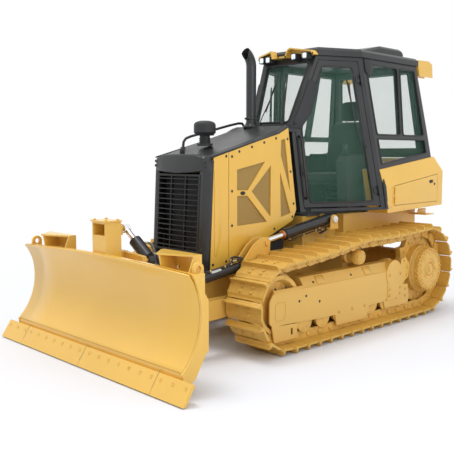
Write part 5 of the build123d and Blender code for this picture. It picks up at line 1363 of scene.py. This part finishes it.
def makeBladeTrim():
    makeEdgeTrim()
    makeBladeLiner()
    welds = Shape()
    ends, y, z, radius = blade["bracketWeld"]
    for x in blade["bracketWelds"]:
        welds.tube([(x + end, y, z) for end in ends], radius, 6)
    for side in (1, -1):
        welds.tube([(side * x, y, z) for x, y, z in blade["towerWeld"]], blade["towerWeldRadius"], 6)
    keepShape("bladeWelds", welds, "yellow", "blade")
    across, along, z = blade["towerBolts"]
    tower = [facing((x, y, z), upward) for x in across for y in along]
    repeatShape("towerBolts", hexHead(0.0105, 0.010), tower, "yellow", "blade", twist=boltTwist)
    pins, fins, spots = Shape(), Shape(), []
    for side in (1, -1):
        x, y, z = blade["anglePin"]
        pins.turned((side * x, y, z), upward, blade["pinCap"], 20)
        pins.stud((side * (x - 0.018), y, z + 0.0055), upward, 0.007, 0.007, 6)
        # blank plates on the push frame's fins, and their bolts
        plate = [Vector((side * blade["fin"], y, z)) for y, z in blade["finPlate"]]
        fins.slab(rounded(plate, 0.2), (side * 0.0015, 0, 0))
        spots += [outward(side, blade["fin"], y, z) for y, z in blade["finBolts"]]
    keepShape("anglePinCaps", pins, "zinc", "blade")
    keepShape("finPlates", fins, "plate", "c_frame")
    repeatShape("finBolts", hexHead(0.010, 0.009), spots, "deck", "c_frame", twist=boltTwist)
    print("blade trimmed")


makeBladeTrim()

seat = {
    "middle": 1.150,
    "floor": 1.085,
    "cushion": ((-0.250, -0.335, 0.262), (0.250, 0.195, 0.385)),
    "cushionChannels": (-0.6, -0.2, 0.2, 0.6),
    # corners, lean, sewn channels, crown
    "seatBack": ((-0.235, 0.068, 0.372), (0.235, 0.188, 0.925), 0.170, (-0.55, -0.2, 0.15, 0.5), 0.012),
    "seatHeadrest": ((-0.135, 0.205, 0.935), (0.135, 0.290, 1.148), 0.10, (-0.5, 0.5), 0.010),
    "fold": ((0, 0.150), (0.019, 0.178), (0.038, 0.150)),
    "foldFoot": (0, -0.01),
    "foldHeights": (0.012, 0.038),
    "folds": 6,
    "plates": (((-0.185, -0.205, 0.001), (0.185, 0.185, 0.018)),
               ((-0.200, -0.250, 0.240), (0.200, 0.185, 0.262))),
    # x, radius, steps round, points
    "bars": ((0.055, 0.007, 8, ((0.225, 0.900), (0.250, 0.960))),
             (0.243, 0.020, 10, ((0.195, 0.520), (0.060, 0.560), (-0.150, 0.560)))),
    "stickX": 0.330,
    "stickWay": (0, -0.1, 1),
    "gaiterFoot": (-0.290, 0.560),
    "gripFoot": (-0.2998, 0.676),
    "gaiter": ((0, 0.048), (0.012, 0.050), (0.018, 0.040), (0.026, 0.044), (0.033, 0.034), (0.042, 0.037),
               (0.050, 0.027), (0.058, 0.028), (0.062, 0.0265)),
    "grip": ((0, 0.0265), (0.018, 0.030), (0.036, 0.026), (0.046, 0.012)),
}


def padShape(low, high, lean=0.0, channels=(), crown=0.0):
    # a stuffed form: rounded box sections that pull in at the sewn channels, given as shares of its height
    low, high = Vector(low), Vector(high)
    middle, halves = (low + high) / 2, (high - low) / 2
    rings = []
    stations = 22
    for i in range(stations + 1):
        t = max(-0.9995, min(0.9995, math.sin(math.pi * (i / stations - 0.5))))
        width = (1 - abs(t) ** 5) ** 0.2
        piping = sum(math.exp(-((t - g) / 0.04) ** 2) for g in (-0.72, 0.72)) if channels else 0.0
        ring = []
        for angle in turnAngles(40):
            c, s = math.cos(angle), math.sin(angle)
            v = math.copysign(abs(s) ** 0.42, s) * width
            u = math.copysign(abs(c) ** 0.42, c) * width
            pinch = sum(math.exp(-((v - g) / 0.05) ** 2) for g in channels)
            u *= 1 - 0.10 * min(1.0, pinch + piping)
            bulge = crown * (1 - t * t) * (1 - v * v) if u < 0 else 0.0
            z = middle.z + halves.z * v
            ring.append((middle.x + halves.x * t, middle.y + halves.y * u - bulge + lean * (z - low.z), z))
        rings.append(ring)
    return Shape().skin(rings)


def makeCushions():
    base = Vector((0, seat["middle"], seat["floor"]))
    shapes = {}
    for name in ("seatBack", "seatHeadrest"):
        low, high, lean, channels, crown = seat[name]
        shapes[name] = padShape(base + Vector(low), base + Vector(high), lean, channels, crown)
    low, high = [base + Vector(p) for p in seat["cushion"]]
    flat = padShape((low.x, low.z, -high.y), (high.x, high.z, -low.y), 0.0, seat["cushionChannels"])
    # turned so that its channels run across the sitting face
    turned = Matrix(((1, 0, 0, 0), (0, 0, -1, 0), (0, 1, 0, 0), (0, 0, 0, 1)))
    bmesh.ops.transform(flat.mesh, matrix=turned, verts=flat.mesh.verts)
    shapes["seatCushion"] = flat
    for name, shape in shapes.items():
        piece = keepShape(name, shape, "seat", "chassis", replaced=("operator_seat",), sharpAngle=60)


def makeSeat():
    makeCushions()
    base = Vector((0, seat["middle"], seat["floor"]))
    mount = Shape()
    low, step = seat["foldHeights"]
    for k in range(seat["folds"]):
        mount.turned(base + Vector((*seat["foldFoot"], low + step * k)), upward, seat["fold"], 4)
    for low, high in seat["plates"]:
        mount.block(base + Vector(low), base + Vector(high))
    for x, radius, steps, route in seat["bars"]:
        for side in (-1, 1):
            mount.tube([base + Vector((side * x, y, z)) for y, z in route], radius, steps)
    keepShape("seatFrame", mount, "moulded", "chassis", replaced=("operator_seat",), edge=0.003, steps=1)
    sticks = Shape()
    for side in (-1, 1):
        for form in ("gaiter", "grip"):
            foot = base + Vector((side * seat["stickX"], *seat[form + "Foot"]))
            sticks.turned(foot, seat["stickWay"], seat[form], 20)
    keepShape("joysticks", sticks, "hose", "chassis")
    print("seat padded")


makeSeat()

rear = {
    "side": 0.7202,
    "latchSlot": ((1.838, 1.350), (1.908, 1.355), (1.908, 1.388), (1.838, 1.383)),
    "lock": (1.945, 1.340),
    "lockSteps": ((0, 0.014), (0.003, 0.014), (0.005, 0.010), (0.005, 0.0)),
    "bolts": ((1.110, 1.130), (1.350, 1.105), (1.600, 1.105), (1.850, 1.115), (2.060, 1.150), (2.062, 1.420),
              (1.100, 1.300)),
    "flange": ((0.500, 1.800, 1.006), (0.712, 1.965, 1.018)),
    "web": ((1.800, 1.010), (1.965, 1.010), (1.965, 1.0698), (1.820, 1.0698)),
    "webX": 0.600,
}


def makeRearTrim():
    for side, label in sides:
        x = side * rear["side"]
        slot = rounded([(x, y, z) for y, z in rear["latchSlot"]], 0.45)
        latch = Shape().slab(slot, (side * 0.0035, 0, 0))
        latch.turned((x, *rear["lock"]), (side, 0, 0), rear["lockSteps"], 20)
        keepShape(label + "ServiceLatch", latch, "moulded", "service_door_" + label, edge=0.001, steps=1)
        spots = [outward(side, rear["side"] - 0.0002, y, z) for y, z in rear["bolts"]]
        repeatShape(label + "BoxBolts", domeHead(0.009, 0.005), spots, "yellow", "chassis")
        (x0, y0, z0), (x1, y1, z1) = rear["flange"]
        near, far = sorted((side * x0, side * x1))
        flange = Shape().block((near, y0, z0), (far, y1, z1))
        flange.slab([(side * rear["webX"], y, z) for y, z in rear["web"]], (side * 0.012, 0, 0))
        keepShape(label + "BodyFlange", flange, "yellow", "chassis", edge=0.002, steps=1)
    print("rear trimmed")


makeRearTrim()

studio = {
    "floor": (0.73, 0.75, 0.80),
    "floorHalf": 60.0,
    # where the floor starts to turn white, and where it ends
    "fade": (3.2, 8.5),
    "zenith": 1.16,
    "horizon": 0.12,
    "rise": (-0.15, 0.75),
    # power, angle, way it comes from
    "sun": (1.05, 20.0, (-0.20, -0.12, 1.00)),
    # power, place, size, what it looks at
    "key": (165.0, (9.5, -2.5, 4.5), 4.5, (0, -0.4, 1.0)),
    "lens": 55.37,
    "cameraPlace": (4.649, -4.963, 1.654),
    "cameraTurn": (84.10, 0.0, 46.16),
}


def aim(holder, place, way):
    # stands at the place with its back to the way
    holder.location = place
    holder.rotation_euler = Vector(way).to_track_quat("Z", "Y").to_euler()


def makeLamps():
    power, angle, way = studio["sun"]
    sun = bpy.data.lights.new("sunLamp", "SUN")
    sun.energy = power
    sun.angle = math.radians(angle)
    aim(placeInScene("sunLamp", sun), origin, way)
    power, place, size, target = studio["key"]
    lamp = bpy.data.lights.new("keyLamp", "AREA")
    lamp.energy = power
    lamp.size = size
    aim(placeInScene("keyLamp", lamp), place, Vector(place) - Vector(target))


def makeRoom(scene):
    world = bpy.data.worlds.new("paleRoom")
    scene.world = world
    world.use_nodes = True
    tree = world.node_tree
    path = tree.nodes.new("ShaderNodeLightPath")
    seen = path.outputs["Is Camera Ray"]
    for name in ("Is Glossy Ray", "Is Transmission Ray"):
        either = tree.nodes.new("ShaderNodeMath")
        either.operation = "MAXIMUM"
        tree.links.new(seen, either.inputs[0])
        tree.links.new(path.outputs[name], either.inputs[1])
        seen = either.outputs[0]
    # soft light falls from above; the low parts of the room are dimmer
    place = tree.nodes.new("ShaderNodeTexCoord")
    split = tree.nodes.new("ShaderNodeSeparateXYZ")
    tree.links.new(place.outputs["Generated"], split.inputs[0])
    rise = tree.nodes.new("ShaderNodeMapRange")
    rise.interpolation_type = "SMOOTHSTEP"
    rise.inputs["From Min"].default_value, rise.inputs["From Max"].default_value = studio["rise"]
    rise.inputs["To Min"].default_value = studio["horizon"]
    rise.inputs["To Max"].default_value = studio["zenith"]
    tree.links.new(split.outputs[2], rise.inputs["Value"])
    level = tree.nodes.new("ShaderNodeMapRange")
    level.inputs["To Max"].default_value = 1.0
    tree.links.new(rise.outputs[0], level.inputs["To Min"])
    tree.links.new(seen, level.inputs["Value"])
    back = tree.nodes["Background"]
    back.inputs["Color"].default_value = (1, 1, 1, 1)
    tree.links.new(level.outputs[0], back.inputs["Strength"])


def makeFloor():
    mesh = bpy.data.meshes.new("floor")
    half = studio["floorHalf"]
    corners = [(-half, -half, 0), (half, -half, 0), (half, half, 0), (-half, half, 0)]
    mesh.from_pydata(corners, [], [(0, 1, 2, 3)])
    g = Graph("paleFloor")
    material = g.set(Base_Color=studio["floor"], Roughness=0.85, Specular_IOR_Level=0.1)
    # away from the machine the floor turns into the white background
    near, far = studio["fade"]
    x, y = g.axes()[:2]
    away = (x * x + y * y) ** 0.5
    spread = g.node("ShaderNodeMapRange", {"interpolation_type": "SMOOTHSTEP"},
                    {"Value": away, "From Min": near, "From Max": far})
    seen = g.node("ShaderNodeLightPath", output="Is Camera Ray")
    white = g.node("ShaderNodeEmission", None, {"Color": (1.0, 1.0, 1.0), "Strength": 1.0})
    both = g.node("ShaderNodeMixShader", None, {0: spread * seen, 1: Wire(g, g.shader.outputs[0]), 2: white})
    g.tree.links.new(both.socket, g.tree.nodes["Material Output"].inputs["Surface"])
    mesh.materials.append(material)
    floor = placeInScene("floor", mesh)


def makeCamera(scene):
    camera = bpy.data.cameras.new("viewer")
    camera.lens = studio["lens"]
    camera.sensor_width = 36.0
    camera.clip_end = 200.0
    holder = placeInScene("viewer", camera)
    holder.location = studio["cameraPlace"]
    holder.rotation_euler = [math.radians(turn) for turn in studio["cameraTurn"]]
    scene.camera = holder


scene = bpy.context.scene
scene.view_settings.view_transform = "Standard"
makeLamps()
makeRoom(scene)
makeFloor()
makeCamera(scene)
print("studio lit")
